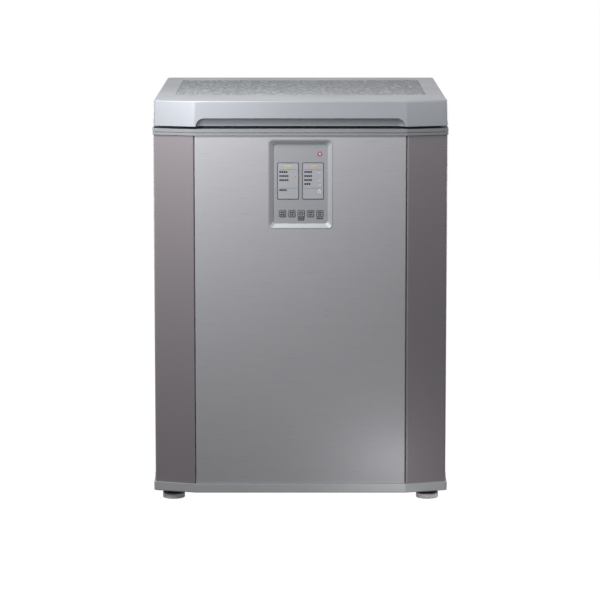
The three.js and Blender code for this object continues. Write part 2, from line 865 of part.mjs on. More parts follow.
function frontPanel() {
  const edge = facetHalf - seam / 2;
  const skin = upright(folded([
    [-edge, caseFront + returnDepth],
    [-edge, caseFront, panelBend],
    [edge, caseFront, panelBend],
    [edge, caseFront + returnDepth],
  ], sheet), sheetBottom, panelTop);
  const hemEdge = edge - panelBend;
  const hem = (level) =>
    block(-hemEdge, hemEdge, caseFront + sheet / 2, caseFront + sheet + hemDepth, level, level + sheet);
  const opening = alongY(
    centred(0, bezelMiddle, bezelWidth + 2 * fit, bezelHeight + 2 * fit, bezelCorner),
    caseFront - 1, caseFront + 2 * sheet);
  return cut(join(skin, hem(sheetBottom), hem(panelTop - sheet)), opening);
}

// Stamped stiffening beads stand out of the back panel and are hollow behind
function backPanel() {
  const bottom = compartmentTop + fit;
  const half = caseHalf - backEdge;
  const skin = alongY(rectangle(-half, half, bottom, panelTop), caseRear - sheet, caseRear);
  const bead = (x, shift) => {
    const length = panelTop - bottom - 2 * beadMargin;
    const middle = (panelTop + bottom) / 2;
    const loop = (trim, y) =>
      centred(x, middle, beadWidth - 2 * trim, length - 2 * trim, (beadWidth - 2 * trim) / 2 - fit)
        .map((point) => new THREE.Vector3(point.x, y + shift, point.y));
    return loft([
      loop(0, caseRear - sheet), loop(0, caseRear - sheet / 2), loop(beadSlope, caseRear + beadHeight),
    ]);
  };
  const places = Array.from({ length: beadCount }, (_, i) => (i - (beadCount - 1) / 2) * beadPitch);
  const raised = join(skin, places.map((x) => bead(x, 0)));
  return cut(raised, places.map((x) => bead(x, -sheet - fit / 2)));
}

sides.forEach(({ side, sign }) => {
  place(`outer_case_${side}`, sign > 0 ? outerCase() : mirrored(outerCase()), 'taupeSheet');
});
place('front_panel', frontPanel(), 'brushedSteel');
place('back_panel', backPanel(), 'zincSheet');

// ---- Rear cover with pressed louvres, and the gland for the mains lead ----

// A louvre is pressed outwards: a quarter-round hood with closed ends, open underneath
function louvreHood(x, level, reach, height, width) {
  const quarter = Array.from({ length: bendSteps + 1 }, (_, i) => {
    const angle = (Math.PI / 2) * (i / bendSteps);
    return [reach * Math.sin(angle), height * Math.cos(angle)];
  });
  const root = -sheet;
  const points = [[root, 0], [root, height], ...quarter].map(([y, z]) =>
    new THREE.Vector2(caseRear + y, level + z));
  return alongX([...points].reverse(), x - width / 2, x + width / 2);
}

function rearCover() {
  const half = caseHalf - backEdge;
  const skin = alongY(rectangle(-half, half, sheetBottom, compartmentTop), caseRear - sheet, caseRear);
  const rows = Array.from({ length: louvreCount },
    (_, i) => sheetBottom + louvreBottom + i * louvrePitch);
  const columns = [-louvreX, louvreX];
  const spots = rows.flatMap((level) => columns.map((x) => ({ x, level })));
  const hoods = spots.map(({ x, level }) => louvreHood(x, level, louvreReach, louvreHeight, louvreWidth));
  const hollows = spots.map(({ x, level }) =>
    louvreHood(x, level - sheet, louvreReach - sheet, louvreHeight, louvreWidth - 2 * sheet));
  const glandHole = lieAlongY(rod(glandRadius + fit, -2 * sheet, 2 * sheet))
    .translate(glandX, caseRear, sheetBottom + glandRise);
  return cut(join(skin, hoods), hollows, glandHole);
}

// Rubber bush with a groove that grips the cover's edge
function cordGland() {
  const groove = glandRadius;
  return lieAlongY(turned([
    [glandBore, -glandLength / 2], [glandFlange - glandEdge, -glandLength / 2],
    [glandFlange, -sheet - fit], [groove, -sheet - fit], [groove, fit], [glandFlange, fit],
    [glandFlange - glandEdge / 2, glandFlangeSheet], [glandRadius, glandFlangeSheet],
    [glandRadius - glandEdge, glandLength], [glandBore, glandLength], [glandBore, -glandLength / 2],
  ], smallSides));
}

place('rear_cover', rearCover(), 'zincSheet');
place('cord_gland', cordGland(), 'rubber', [glandX, caseRear, sheetBottom + glandRise]);

// ---- Well, collar, evaporator and foam ----

// The well follows the machine compartment: deep in front, shallow over the step
function tubForm(grow, top) {
  const half = tubHalf + grow;
  const front = tubFront - grow;
  const radius = tubCorner + grow;
  const deep = upright(rectangle(-half, half, front, stepFront + grow, radius), tubFloor - grow, top);
  const shallow = upright(rectangle(-half, half, front, tubRear + grow, radius), stepLevel - grow, top);
  return join(deep, shallow);
}

const mouth = (grow) =>
  rectangle(-tubHalf - grow, tubHalf + grow, tubFront - grow, tubRear + grow, tubCorner + grow);

function innerTub() {
  const flange = upright(mouth(tubWall + tubFlange), tubRim - tubFlangeSheet, tubRim);
  return cut(join(tubForm(tubWall, tubRim), flange), tubForm(0, tubRim + 1));
}

function collar() {
  const bottom = panelTop + fit;
  const corners = plan(collarLip, collarFrontLip, caseRear + collarLip);
  const body = upright(planOutline(corners), bottom, collarTop, [mouth(tubWall + fit)]);
  const rebate = upright(mouth(tubWall + tubFlange + fit), collarTop - rebateDepth, collarTop + 1);
  const pocket = upright(planOutline(inset(corners, collarWall)), bottom - 1, collarTop - collarWall,
    [mouth(tubWall + collarBar)]);
  const groove = upright(planOutline(inset(corners, -1)), bottom + grooveRise,
    bottom + grooveRise + grooveHeight, [planOutline(inset(corners, grooveDepth))]);
  return cut(body, rebate, pocket, groove);
}

const coilReach = tubWall + evaporatorGap + evaporatorTube;
const coilBottom = stepLevel + evaporatorRise;
const coilTop = coilBottom + evaporatorTurns * evaporatorPitch;
const coilRear = tubRear + coilReach;
const riserNear = { x: riserRight, y: coilRear };
const riserFar = { x: riserRight + riserSpacing, y: coilRear + riserStep };

// Rises out of the compartment, winds up round the well and comes down again behind the turns
function evaporatorCoil() {
  const half = tubHalf + coilReach;
  const front = tubFront - coilReach;
  const foot = compartmentTop + fit;
  const bend = tubCorner;
  const corners = [
    { at: [riserNear.x, riserNear.y, foot], radius: 0 },
    { at: [riserNear.x, riserNear.y, coilBottom], radius: tubeBend },
  ];
  for (let turn = 0; turn < evaporatorTurns; turn += 1) {
    const level = (quarter) => coilBottom + (turn + quarter / 4) * evaporatorPitch;
    corners.push({ at: [-half, coilRear, level(0)], radius: bend });
    corners.push({ at: [-half, front, level(1)], radius: bend });
    corners.push({ at: [half, front, level(2)], radius: bend });
    corners.push({ at: [half, coilRear, level(3)], radius: bend });
  }
  corners.push({ at: [riserFar.x, coilRear, coilTop], radius: tubeBend / 2 });
  corners.push({ at: [riserFar.x, riserFar.y, coilTop], radius: tubeBend / 2 });
  corners.push({ at: [riserFar.x, riserFar.y, foot], radius: 0 });
  const path = corners.map(({ at, radius }) => ({ at: new THREE.Vector3(...at), radius }));
  return pipe(fillet(path, false, bendSteps), evaporatorTube);
}

const housingRear = caseFront + bezelBody + fit + housingDepth;

// Rigid foam fills the space between the sheets and the well
function foamBody() {
  const caseCorners = plan(0, 0, innerRear + sheet + fit);
  const headInset = Math.max(sheet, collarWall - collarLip) + fit;
  const footInset = Math.max(sheet, baseWall - baseLip) + fit;
  const foot = upright(planOutline(inset(caseCorners, footInset)), floorTop + fit, baseTop + 1);
  const main = upright(planOutline(inset(caseCorners, sheet + fit)), sheetBottom, panelTop);
  const head = upright(planOutline(inset(caseCorners, headInset)), panelTop - 1,
    collarTop - collarWall - fit);
  const rimCut = cut(
    upright(mouth(tubWall + collarBar + fit), panelTop, collarTop),
    upright(mouth(0), panelTop - 1, collarTop + 1));
  const compartment = block(-caseWidth, caseWidth, compartmentFront, caseRear + 1, 0, compartmentTop);
  const bandReach = coilReach + evaporatorTube + fit;
  const bandHalf = tubHalf + bandReach;
  const coilBand = upright(
    rectangle(-bandHalf, bandHalf, tubFront - bandReach, tubRear + bandReach, tubCorner - fit),
    coilBottom - evaporatorPitch / 2, coilTop + evaporatorPitch / 2);
  const chaseReach = evaporatorTube + chaseGap;
  const crossover = block(riserFar.x - chaseReach, riserFar.x + chaseReach, tubRear,
    riserFar.y + chaseReach, coilTop - chaseReach, coilTop + evaporatorPitch / 2);
  const chase = ({ x, y }) =>
    rod(chaseReach, compartmentTop - 1, coilTop + evaporatorPitch / 2, pipeSides).translate(x, y, 0);
  const reach = returnDepth + fit;
  const returnReach = seam / 2 + Math.max(creaseBend, panelBend) + fit;
  const returns = sides.map(({ sign }) =>
    block(sign * facetHalf - returnReach, sign * facetHalf + returnReach,
      caseFront, caseFront + reach, sheetBottom - 1, panelTop + 1));
  const hems = [sheetBottom, panelTop - sheet].map((level) =>
    block(-facetHalf, facetHalf, caseFront, caseFront + sheet + hemDepth + fit, level - fit,
      level + sheet + fit));
  const controlPocket = alongY(
    centred(0, bezelMiddle, bezelWidth + 2 * fit, bezelHeight + 2 * fit, bezelCorner),
    caseFront - 1, housingRear + fit);
  const bossPockets = sides.map(({ sign }) =>
    rod(bossRadius + fit, 0, baseBottom + bossHeight + fit).translate(sign * footX, footY, 0));
  return cut(join(foot, main, head), tubForm(tubWall + fit, collarTop + 1), rimCut, compartment, coilBand,
    crossover, chase(riserNear), chase(riserFar), returns, hems, controlPocket, bossPockets);
}

place('collar', collar(), 'collarGrey');
place('inner_tub', innerTub(), 'wellMetal');
place('foam_body', foamBody(), 'foam');
place('evaporator_coil', evaporatorCoil(), 'aluminiumTube');

// ---- Control recess: bezel, fascia, windows, lens, keys, board and housing ----

const fasciaFace = caseFront + bezelSlope + bezelLip + fit;
const fasciaBack = fasciaFace + fasciaSheet;
const fasciaWidth = bezelWidth - 2 * bezelSide;
const fasciaHeight = bezelHeight - 2 * bezelEnd;
const fasciaBottom = bezelMiddle - fasciaHeight / 2;
const windowWidth = (fasciaWidth - windowGap) / 2 - windowMargin;
const windowHeight = fasciaHeight - windowRise - windowDrop;
const windowSpacing = windowWidth + windowGap;
const windowMiddle = fasciaBottom + windowRise + windowHeight / 2;
const lensX = fasciaWidth / 2 - lensSide;
const lensLevel = fasciaBottom + fasciaHeight - lensDrop;
const keyLevel = fasciaBottom + keyRise;
const boardFace = caseFront + boardSetback;
const keyBack = fasciaBack + fit + keyFlange;
const keyX = (i) => (i - (keyCount - 1) / 2) * keyPitch + keyOffset;

function controlBezel() {
  const front = caseFront - bezelProud;
  const back = caseFront + bezelBody;
  const body = alongY(centred(0, bezelMiddle, bezelWidth, bezelHeight, bezelCorner - fit), front, back);
  const slopeRing = (width, height, radius, y) =>
    centred(0, bezelMiddle, width, height, radius).map((point) => new THREE.Vector3(point.x, y, point.y));
  const rim = 2 * bezelRim;
  const slope = loft([
    slopeRing(bezelWidth - rim, bezelHeight - rim, bezelCorner - bezelRim, front - fit),
    slopeRing(bezelWidth - rim, bezelHeight - rim, bezelCorner - bezelRim, front),
    slopeRing(fasciaWidth, fasciaHeight, fasciaCorner, caseFront + bezelSlope),
    slopeRing(fasciaWidth, fasciaHeight, fasciaCorner, back + 1),
  ]);
  const seatWidth = fasciaWidth + 2 * (fasciaLap + fit);
  const seatHeight = fasciaHeight + 2 * (fasciaLap + fit);
  const seat = alongY(centred(0, bezelMiddle, seatWidth, seatHeight, fasciaCorner),
    fasciaFace - fit, back + 1);
  return cut(body, slope, seat);
}

function controlFascia() {
  const plate = centred(0, bezelMiddle, fasciaWidth + 2 * fasciaLap, fasciaHeight + 2 * fasciaLap,
    fasciaCorner);
  const windows = sides.map(({ sign }) =>
    centred((sign * windowSpacing) / 2, windowMiddle, windowWidth + 2 * fit, windowHeight + 2 * fit,
      windowCorner));
  const keys = Array.from({ length: keyCount }, (_, i) =>
    centred(keyX(i), keyLevel, keySize + 2 * fit, keySize + 2 * fit, keyCorner));
  const lens = circle(lensX, lensLevel, clearOf(lensRadius + fit, smallSides), smallSides);
  return alongY(plate, fasciaFace, fasciaBack, [...windows, ...keys, lens]);
}

function displayWindow() {
  const pane = alongY(centred(0, 0, windowWidth, windowHeight, windowCorner - fit),
    fasciaFace - windowProud, fasciaBack + fit + windowSheet / 2);
  const flangeOutline = centred(0, 0, windowWidth + 2 * windowLap, windowHeight + 2 * windowLap,
    windowCorner);
  const flange = alongY(flangeOutline, fasciaBack + fit, fasciaBack + fit + windowSheet);
  return join(pane, flange);
}

// Ring of clear plastic with a flange behind the fascia
function indicatorLens() {
  const front = fasciaFace - lensProud;
  const seat = fasciaBack + fit;
  const flange = lensRadius + lensFlange;
  return turned([
    [lensBore, -seat - windowSheet], [flange, -seat - windowSheet], [flange, -seat],
    [lensRadius, -seat], [lensRadius, -front - lensProud / 2], [lensRadius - lensProud / 2, -front],
    [lensBore, -front], [lensBore, -seat - windowSheet],
  ], smallSides).rotateX(Math.PI / 2);
}

function keyCap() {
  const front = fasciaFace - keyProud;
  const face = (trim, y) => centred(0, 0, keySize - 2 * trim, keySize - 2 * trim, keyCorner - trim)
    .map((point) => new THREE.Vector3(point.x, y, point.y));
  const cap = loft([face(keyEdge, front), face(0, front + keyEdge), face(0, keyBack - keyFlange / 2)]);
  const lap = keySize + 2 * keyLap;
  const flange = alongY(centred(0, 0, lap, lap, keyCorner), fasciaBack + fit, keyBack);
  const stemEnd = boardFace - displayModule + fit;
  const stem = alongY(centred(0, 0, keyStem, keyStem), keyBack - keyFlange / 2, stemEnd);
  return join(cap, flange, stem);
}

function controlBoard() {
  const half = bezelWidth / 2 - housingWall - boardMargin;
  const low = bezelMiddle - bezelHeight / 2 + housingWall + boardMargin;
  const high = 2 * bezelMiddle - low;
  const board = alongY(rectangle(-half, half, low, high), boardFace, boardFace + boardSheet);
  const displays = sides.map(({ sign }) =>
    alongY(centred((sign * windowSpacing) / 2, windowMiddle, windowWidth - 2 * displayMargin,
      windowHeight - 2 * displayMargin),
      boardFace - displayModule, boardFace + fit));
  const button = displayModule - fit - keyTravel - fit;
  const switches = Array.from({ length: keyCount }, (_, i) =>
    alongY(centred(keyX(i), keyLevel, switchSize, switchSize), boardFace - button, boardFace + fit));
  return join(board, displays, switches);
}

function controlHousing() {
  const front = caseFront + bezelBody + fit;
  const box = (wall) => centred(0, bezelMiddle, bezelWidth - 2 * wall, bezelHeight - 2 * wall,
    bezelCorner - fit - wall);
  const shell = alongY(box(0), front, housingRear);
  const inner = alongY(box(housingWall), front - 1, housingRear - housingWall);
  const postX = bezelWidth / 2 - housingWall - 2 * boardMargin;
  const postZ = bezelHeight / 2 - housingWall - 2 * boardMargin;
  const posts = [-1, 1].flatMap((across) => [-1, 1].map((up) =>
    lieAlongY(rod(postRadius, boardFace + boardSheet + fit, housingRear - housingWall / 2, pipeSides))
      .translate(across * postX, 0, bezelMiddle + up * postZ)));
  return join(cut(shell, inner), posts);
}

place('control_bezel', controlBezel(), 'greyPlastic');
place('control_fascia', controlFascia(), 'greyPlastic');
place('control_board', controlBoard(), 'circuitBoard');
place('control_housing', controlHousing(), 'blackPlastic');
place('indicator_lens', indicatorLens(), 'lens', [lensX, 0, lensLevel]);
sides.forEach(({ side, sign }) => {
  const spot = [(sign * windowSpacing) / 2, 0, windowMiddle];
  place(`display_window_${side}`, displayWindow(), 'window', spot);
});
for (let i = 0; i < keyCount; i += 1) {
  place(`key_${i + 1}`, keyCap(), 'key', [keyX(i), 0, keyLevel]);
}

// ---- Compressor on its plate ----

const compressorCentreY = caseRear - compressorY;
const plateTop = floorTop + fit + plateSheet;
const mounts = [-1, 1].flatMap((across) => [-1, 1].map((along) =>
  [compressorX + across * mountX, compressorCentreY + along * mountY]));
const footTop = footPlateLevel + footPlateSheet;

function compressorPlate() {
  const front = compartmentFront + plateFront;
  const rear = caseRear - plateRear;
  const low = floorTop + fit;
  const folds = folded([
    [front, plateTop + plateFlange],
    [front, low, 2 * plateSheet],
    [rear, low, 2 * plateSheet],
    [rear, plateTop + plateFlange],
  ], plateSheet);
  const half = caseHalf - plateSide;
  const tray = alongX(folds, -half, half);
  const pins = mounts.map(([x, y]) =>
    rod(mountPin, plateTop - plateSheet / 2, plateTop + mountPinRise, smallSides).translate(x, y, 0));
  return join(tray, pins);
}

function grommet() {
  const bore = mountPin + pinFit;
  const bottom = plateTop + fit;
  return turned([
    [bore, bottom], [grommetRadius, bottom], [grommetRadius, footPlateLevel - fit],
    [grommetNeck, footPlateLevel - fit], [grommetNeck, footTop + fit], [grommetHead, footTop + fit],
    [grommetHead - grommetEdge, footTop + grommetHeadHeight], [bore, footTop + grommetHeadHeight],
    [bore, bottom],
  ], smallSides);
}

const stubDirection = (turn) => {
  const angle = degrees(turn);
  return new THREE.Vector3(Math.cos(angle), Math.sin(angle), 0);
};
const suctionTurn = stubTurn;
const dischargeTurn = 180 + stubTurn;
const stubEnd = (turn, extra = 0) => stubDirection(turn)
  .multiplyScalar(shellRadius + stubLength + extra)
  .add(new THREE.Vector3(compressorX, compressorCentreY, stubLevel));

function compressor() {
  const dome = (from, to) => Array.from({ length: domeSteps + 1 }, (_, i) => {
    const angle = (Math.PI / 2) * (i / domeSteps);
    return [shellRadius * Math.sin(angle), to + (from - to) * Math.cos(angle)];
  });
  const shell = turned([
    ...dome(shellBottom, shellBottom + shellBase),
    [shellRadius, shellWaist - seamEase], [shellRadius + shellSeam, shellWaist],
    [shellRadius + shellSeam, shellWaist + shellSeam], [shellRadius, shellWaist + shellSeam + seamEase],
    ...dome(shellTop, shellShoulder).reverse(),
  ], largeSides).translate(compressorX, compressorCentreY, 0);
  const holes = mounts.map(([x, y]) => circle(x, y, clearOf(grommetNeck + fit, smallSides), smallSides));
  const feet = upright(
    centred(compressorX, compressorCentreY, footPlateLength, footPlateWidth, footPlateCorner),
    footPlateLevel, footTop, holes);
  const stubs = [suctionTurn, dischargeTurn].map((turn) => {
    const start = stubEnd(turn, -stubLength - stubRoot);
    return pipe([start, stubEnd(turn)], stubRadius, pipeSides);
  });
  return join(shell, feet, stubs);
}

// Plastic box that covers the start relay, shaped to the shell it sits on
function relayCover() {
  const near = compressorX - shellRadius - relayDepth;
  const body = upright(
    rectangle(near, compressorX - shellRadius + relayCorner, compressorCentreY - relayWidth / 2,
      compressorCentreY + relayWidth / 2, relayCorner), relayLevel, relayLevel + relayHeight);
  const shellSpace = rod(shellRadius + fit, relayLevel - 1, relayLevel + relayHeight + 1, relaySides)
    .translate(compressorX, compressorCentreY, 0);
  return cut(body, shellSpace);
}

place('compressor_plate', compressorPlate(), 'zincSheet');
place('compressor', compressor(), 'blackEnamel');
mounts.forEach(([x, y], i) => {
  place(`compressor_grommet_${i + 1}`, grommet(), 'rubber', [x, y, 0]);
});
place('relay_cover', relayCover(), 'blackPlastic');

// ---- Condenser, fan and pipework ----

const condenserStart = compartmentFront + condenserFront;
const condenserEnd = condenserStart + condenserRun;
const condenserTop = condenserBottom + (condenserPasses - 1) * condenserPitch;
const dryerLevel = condenserTop + dryerRise;
const condenserFar = condenserX - condenserLayer;
const condenserBend = condenserPitch / 2 - fit;
const laneY = compartmentFront + pipeLane;
const inletY = condenserStart - condenserPitch / 2;

// Two serpentine layers in one length of tube, through shared fins
function condenserCoil() {
  const corners = [[condenserX, inletY + fit, condenserTop]];
  const layer = (x, levels, startsFront) => {
    levels.forEach((level, i) => {
      const frontFirst = (i % 2 === 0) === startsFront;
      const ends = [condenserStart - condenserPitch / 2, condenserEnd + condenserPitch / 2];
      const [from, to] = frontFirst ? ends : [...ends].reverse();
      if (corners.length > 1) corners.push([x, from, level]);
      corners.push([x, to, level]);
    });
  };
  const down = Array.from({ length: condenserPasses }, (_, i) => condenserTop - i * condenserPitch);
  layer(condenserX, down, true);
  layer(condenserFar, [...down].reverse(), condenserPasses % 2 === 0);
  corners.pop();
  corners.push([condenserFar, laneY, condenserTop]);
  corners.push([condenserFar, laneY, dryerLevel]);
  corners.push([dryerX - fit, laneY, dryerLevel]);
  const tube = bentPipe(corners, condenserTube, condenserBend - fit);
  const margin = finMargin;
  const fin = (y, bottom) => block(condenserFar - margin, condenserX + margin, y, y + finSheet,
    bottom, condenserTop + margin);
  const pitch = (condenserRun - finSheet) / (finCount - 1);
  const fins = Array.from({ length: finCount }, (_, i) => {
    const stands = i === 0 || i === finCount - 1;
    return fin(condenserStart + i * pitch, stands ? plateTop + fit : condenserBottom - margin);
  });
  return join(tube, fins);
}

// Plate with a bell-mouthed ring and a spider that holds the motor
function fanShroud() {
  const front = compartmentFront + fanPlateFront;
  const rear = caseRear - fanPlateRear;
  const middle = (front + rear) / 2;
  const plate = alongX(
    rectangle(front, rear, plateTop + fit, fanPlateTop, fanPlateCorner), fanX, fanX + fanPlateSheet,
    [circle(middle, fanLevel, ringRadius + bellRadius / 2, largeSides)]);
  const mouthCurve = (radius) => Array.from({ length: bendSteps + 1 }, (_, i) => {
    const angle = (Math.PI / 2) * (i / bendSteps);
    return [ringRadius + bellRadius - radius * Math.sin(angle), bellRadius - radius * Math.cos(angle)];
  });
  const inner = mouthCurve(bellRadius);
  const outer = mouthCurve(bellRadius - ringWall);
  const barrel = lieAlongX(turned([
    ...outer, [ringRadius + ringWall, ringDepth], [ringRadius, ringDepth], ...inner.reverse(), outer[0],
  ], largeSides)).translate(fanX, middle, fanLevel);
  const spiderX = fanX + ringDepth - spiderSheet;
  const hub = lieAlongX(ring(spiderBore, spiderHub, 0, spiderSheet)).translate(spiderX, middle, fanLevel);
  const arms = Array.from({ length: spiderArms }, (_, i) => {
    const arm = block(0, spiderSheet, -spiderArmWidth / 2, spiderArmWidth / 2, spiderHub - spiderRoot,
      ringRadius + ringWall / 2);
    return arm.rotateX((2 * Math.PI * i) / spiderArms).translate(spiderX, middle, fanLevel);
  });
  return join(plate, barrel, hub, arms);
}

const fanY = (compartmentFront + fanPlateFront + caseRear - fanPlateRear) / 2;
const motorX = fanX + ringDepth + fit;
const rotorRear = fanX + ringDepth - spiderSheet - rotorGap;

function fanMotor() {
  const shaftEnd = rotorRear - rotorHubLength + shaftStop - motorX;
  return lieAlongX(turned([
    [0, shaftEnd], [shaftRadius, shaftEnd], [shaftRadius, 0], [motorRadius - motorEdge, 0],
    [motorRadius, motorEdge], [motorRadius, motorLength - motorShoulder],
    [motorCap, motorLength - motorEdge], [motorCap - motorEdge, motorLength], [0, motorLength],
  ]));
}

// Swept, twisted blades on a cup-shaped hub
function fanRotor() {
  const bladeMiddle = -rotorHubLength / 2;
  const section = (radius) => {
    const share = (radius - bladeRoot) / (bladeTip - bladeRoot);
    const chord = THREE.MathUtils.lerp(bladeChordRoot, bladeChordTip, share);
    const pitch = degrees(THREE.MathUtils.lerp(bladePitchRoot, bladePitchTip, share));
    const thick = bladeThickness * (1 - bladeThinning * share);
    const sweep = degrees(bladeSweep) * share;
    return bladeOutline.map(([u, v]) => {
      const camber = bladeCamber * chord * (1 - 4 * u * u);
      const along = u * chord;
      const lift = v * thick + camber;
      const axial = along * Math.sin(pitch) + lift * Math.cos(pitch);
      const around = (along * Math.cos(pitch) - lift * Math.sin(pitch)) / radius + sweep;
      return new THREE.Vector3(bladeMiddle + axial, radius * Math.sin(around), radius * Math.cos(around));
    });
  };
  const radii = [bladeRoot, (bladeRoot + bladeTip) / 2, bladeTip];
  const hub = lieAlongX(turned([
    [0, -rotorHubLength], [rotorHub - rotorHubEdge, -rotorHubLength],
    [rotorHub, -rotorHubLength + rotorHubEdge], [rotorHub, 0], [shaftRadius + pinFit, 0],
    [shaftRadius + pinFit, -rotorHubLength + shaftStop - fit], [0, -rotorHubLength + shaftStop - fit],
  ]));
  const blades = Array.from({ length: bladeCount }, (_, i) =>
    loft(radii.map(section)).rotateX((2 * Math.PI * i) / bladeCount));
  return join(hub, blades);
}

// Spun copper can, with the capillary brazed into its outlet and led up to the evaporator
function filterDryer() {
  const can = lieAlongX(turned([
    [0, 0], [pipeRadius, 0], [pipeRadius, dryerInlet], [dryerRadius, dryerInlet + dryerCone],
    [dryerRadius, dryerLength - dryerNeck - dryerCone], [pipeRadius, dryerLength - dryerNeck],
    [pipeRadius, dryerLength], [0, dryerLength],
  ], smallSides)).translate(dryerX, laneY, dryerLevel);
  const capillary = bentPipe([
    [dryerX + dryerLength - capillaryRoot, laneY, dryerLevel],
    [riserNear.x - 2 * tubeBend, laneY, dryerLevel],
    [riserNear.x - 2 * tubeBend, laneY, capillaryLevel],
    [riserNear.x, laneY + 2 * tubeBend, capillaryLevel],
    [riserNear.x, riserNear.y, capillaryLevel],
    [riserNear.x, riserNear.y, compartmentTop],
  ], capillaryRadius, tubeBend / 2, wireSides);
  return join(can, capillary);
}

function dischargeTube() {
  const start = stubEnd(dischargeTurn, fit);
  const turnPoint = stubEnd(dischargeTurn, 2 * tubeBend);
  return bentPipe([
    start.toArray(),
    turnPoint.toArray(),
    [turnPoint.x, laneY, stubLevel],
    [condenserX + tubeBend, laneY, stubLevel],
    [condenserX, laneY, condenserTop],
    [condenserX, inletY, condenserTop],
  ], pipeRadius, tubeBend / 2);
}

function suctionTube() {
  const end = stubEnd(suctionTurn, fit);
  const lead = stubEnd(suctionTurn, 2 * tubeBend);
  return bentPipe([
    [riserFar.x, riserFar.y, compartmentTop],
    [riserFar.x, riserFar.y, suctionLevel],
    [lead.x, riserFar.y, suctionLevel],
    lead.toArray(),
    end.toArray(),
  ], suctionRadius, suctionBend);
}

place('condenser_coil', condenserCoil(), 'aluminiumTube');
place('fan_shroud', fanShroud(), 'greyPlastic');
place('fan_motor', fanMotor(), 'steel', [motorX, fanY, fanLevel]);
place('fan_rotor', fanRotor(), 'blackPlastic', [rotorRear, fanY, fanLevel]);
place('filter_dryer', filterDryer(), 'copper');
place('discharge_tube', dischargeTube(), 'copper');
place('suction_tube', suctionTube(), 'copper');

// ---- Main board in its box, hung under the compartment's ceiling ----

const boxBack = compartmentFront + boardBoxFront + boardBoxDepth;
const boxBottom = compartmentTop - boardBoxHeight;

function mainBoardBox() {
  const half = boardBoxWidth / 2;
  const front = compartmentFront + boardBoxFront;
  const outer = upright(rectangle(boardBoxX - half, boardBoxX + half, front, boxBack,
    boardBoxCorner + boardBoxWall), boxBottom,
    compartmentTop - fit);
  const inner = upright(
    rectangle(boardBoxX - half + boardBoxWall, boardBoxX + half - boardBoxWall, front + boardBoxWall,
      boxBack - boardBoxWall, boardBoxCorner), boxBottom + boardBoxWall, compartmentTop + 1);
  return cut(outer, inner);
}

function mainBoard() {
  const half = boardBoxWidth / 2 - boardBoxWall - boardInset;
  const front = compartmentFront + boardBoxFront + boardBoxWall + boardInset;
  const rear = boxBack - boardBoxWall - boardInset;
  const level = boxBottom + boardBoxWall + fit;
  const board = upright(rectangle(boardBoxX - half, boardBoxX + half, front, rear, boardBoxCorner),
    level, level + boardSheet);
  const top = level + boardSheet / 2;
  const near = front + partsMargin;
  const left = boardBoxX - half + partsMargin;
  const transformer = block(left, left + transformerSize, near, near + transformerSize, top,
    top + transformerHeight);
  const capacitors = Array.from({ length: capacitorCount }, (_, i) =>
    rod(capacitorRadius, top, top + capacitorHeight, smallSides)
      .translate(boardBoxX + capacitorPitch * (i + 1 / 2), near + capacitorRadius, 0));
  const relays = [0, 1].map((i) => {
    const start = boardBoxX + i * relayBlockPitch;
    const end = rear - partsMargin;
    return block(start, start + relayBlockWidth, end - relayBlockLength, end, top, top + relayBlockHeight);
  });
  return join(board, transformer, capacitors, relays);
}

place('main_board_box', mainBoardBox(), 'greyPlastic');
place('main_board', mainBoard(), 'circuitBoard');

// ---- Lid ----

const lidInnerHalf = caseHalf + lidLip - lidWall;
const cavityFront = foremost + gripBeam;
const cavityRear = lidRear - lidWall;
const insetLow = foremost + insetFront;
const insetHigh = lidRear - insetRear;
const roofLevel = lidTop - lidRoof;
const linerLevel = lidBottom + linerRise;
const lidHalf = caseHalf + lidLip;
const insetHalf = lidHalf - insetSide;
// How far the cavity's drafted sides have come in at a level
const cavityDraft = (level) => (lidDraft * (level - lidBottom)) / (roofLevel - lidBottom);

// Moulded shell with drafted sides, a rounded upper edge and a finger grip scooped along the front
function lidFrame() {
  const lidRing = (draft, rearDraft, level) => {
    const corners = inset(plan(lidLip, baseFrontLip, lidRear + draft - rearDraft), draft);
    const rounded = corners.map(([x, y], i) => [x, y, i < 2 ? creaseBend : shoulderBend]);
    return ringAt(planOutline(rounded), level);
  };
  const upperEdge = Array.from({ length: bendSteps + 1 }, (_, i) => {
    const angle = (Math.PI / 2) * (i / bendSteps);
    const fall = lidEdge * (1 - Math.cos(angle));
    return lidRing(lidDraft + fall, fall, lidTop - lidEdge + lidEdge * Math.sin(angle));
  });
  const shell = loft([lidRing(0, 0, lidBottom), ...upperEdge]);
  const half = lidInnerHalf;
  const cavityRing = (draft, level) =>
    ringAt(rectangle(-half + draft, half - draft, cavityFront, cavityRear, cavityCorner), level);
  const cavity = loft([
    cavityRing(0, lidBottom - 1), cavityRing(0, lidBottom), cavityRing(lidDraft, roofLevel),
  ]);
  const recess = upright(rectangle(-insetHalf, insetHalf, insetLow, insetHigh, insetCorner),
    lidTop - insetRecess, lidTop + 1);
  const gripHalf = facetHalf - gripMargin;
  const roundEnd = (sign) => Array.from({ length: scoopSteps + 1 }, (_, i) => {
    const angle = (Math.PI / 2) * (i / scoopSteps);
    return [gripRadius * Math.sin(angle), sign * (gripHalf - gripEnd + gripEnd * Math.cos(angle))];
  });
  const scoop = lieAlongX(turned([...roundEnd(-1), ...roundEnd(1).reverse()]))
    .scale(1, gripDepth / gripRadius, 1)
    .translate(0, foremost, lidBottom);
  return cut(shell, cavity, recess, scoop);
}

function lidTopPanel() {
  const half = insetHalf - fit;
  const bottom = lidTop - insetRecess + fit;
  return upright(rectangle(-half, half, insetLow + fit, insetHigh - fit, insetCorner - fit),
    bottom, bottom + insetSheet);
}

const plugForm = (shrink, bottom, top) =>
  upright(mouth(-plugGap - shrink).map(({ x, y }) => new THREE.Vector2(x, y)), bottom, top);

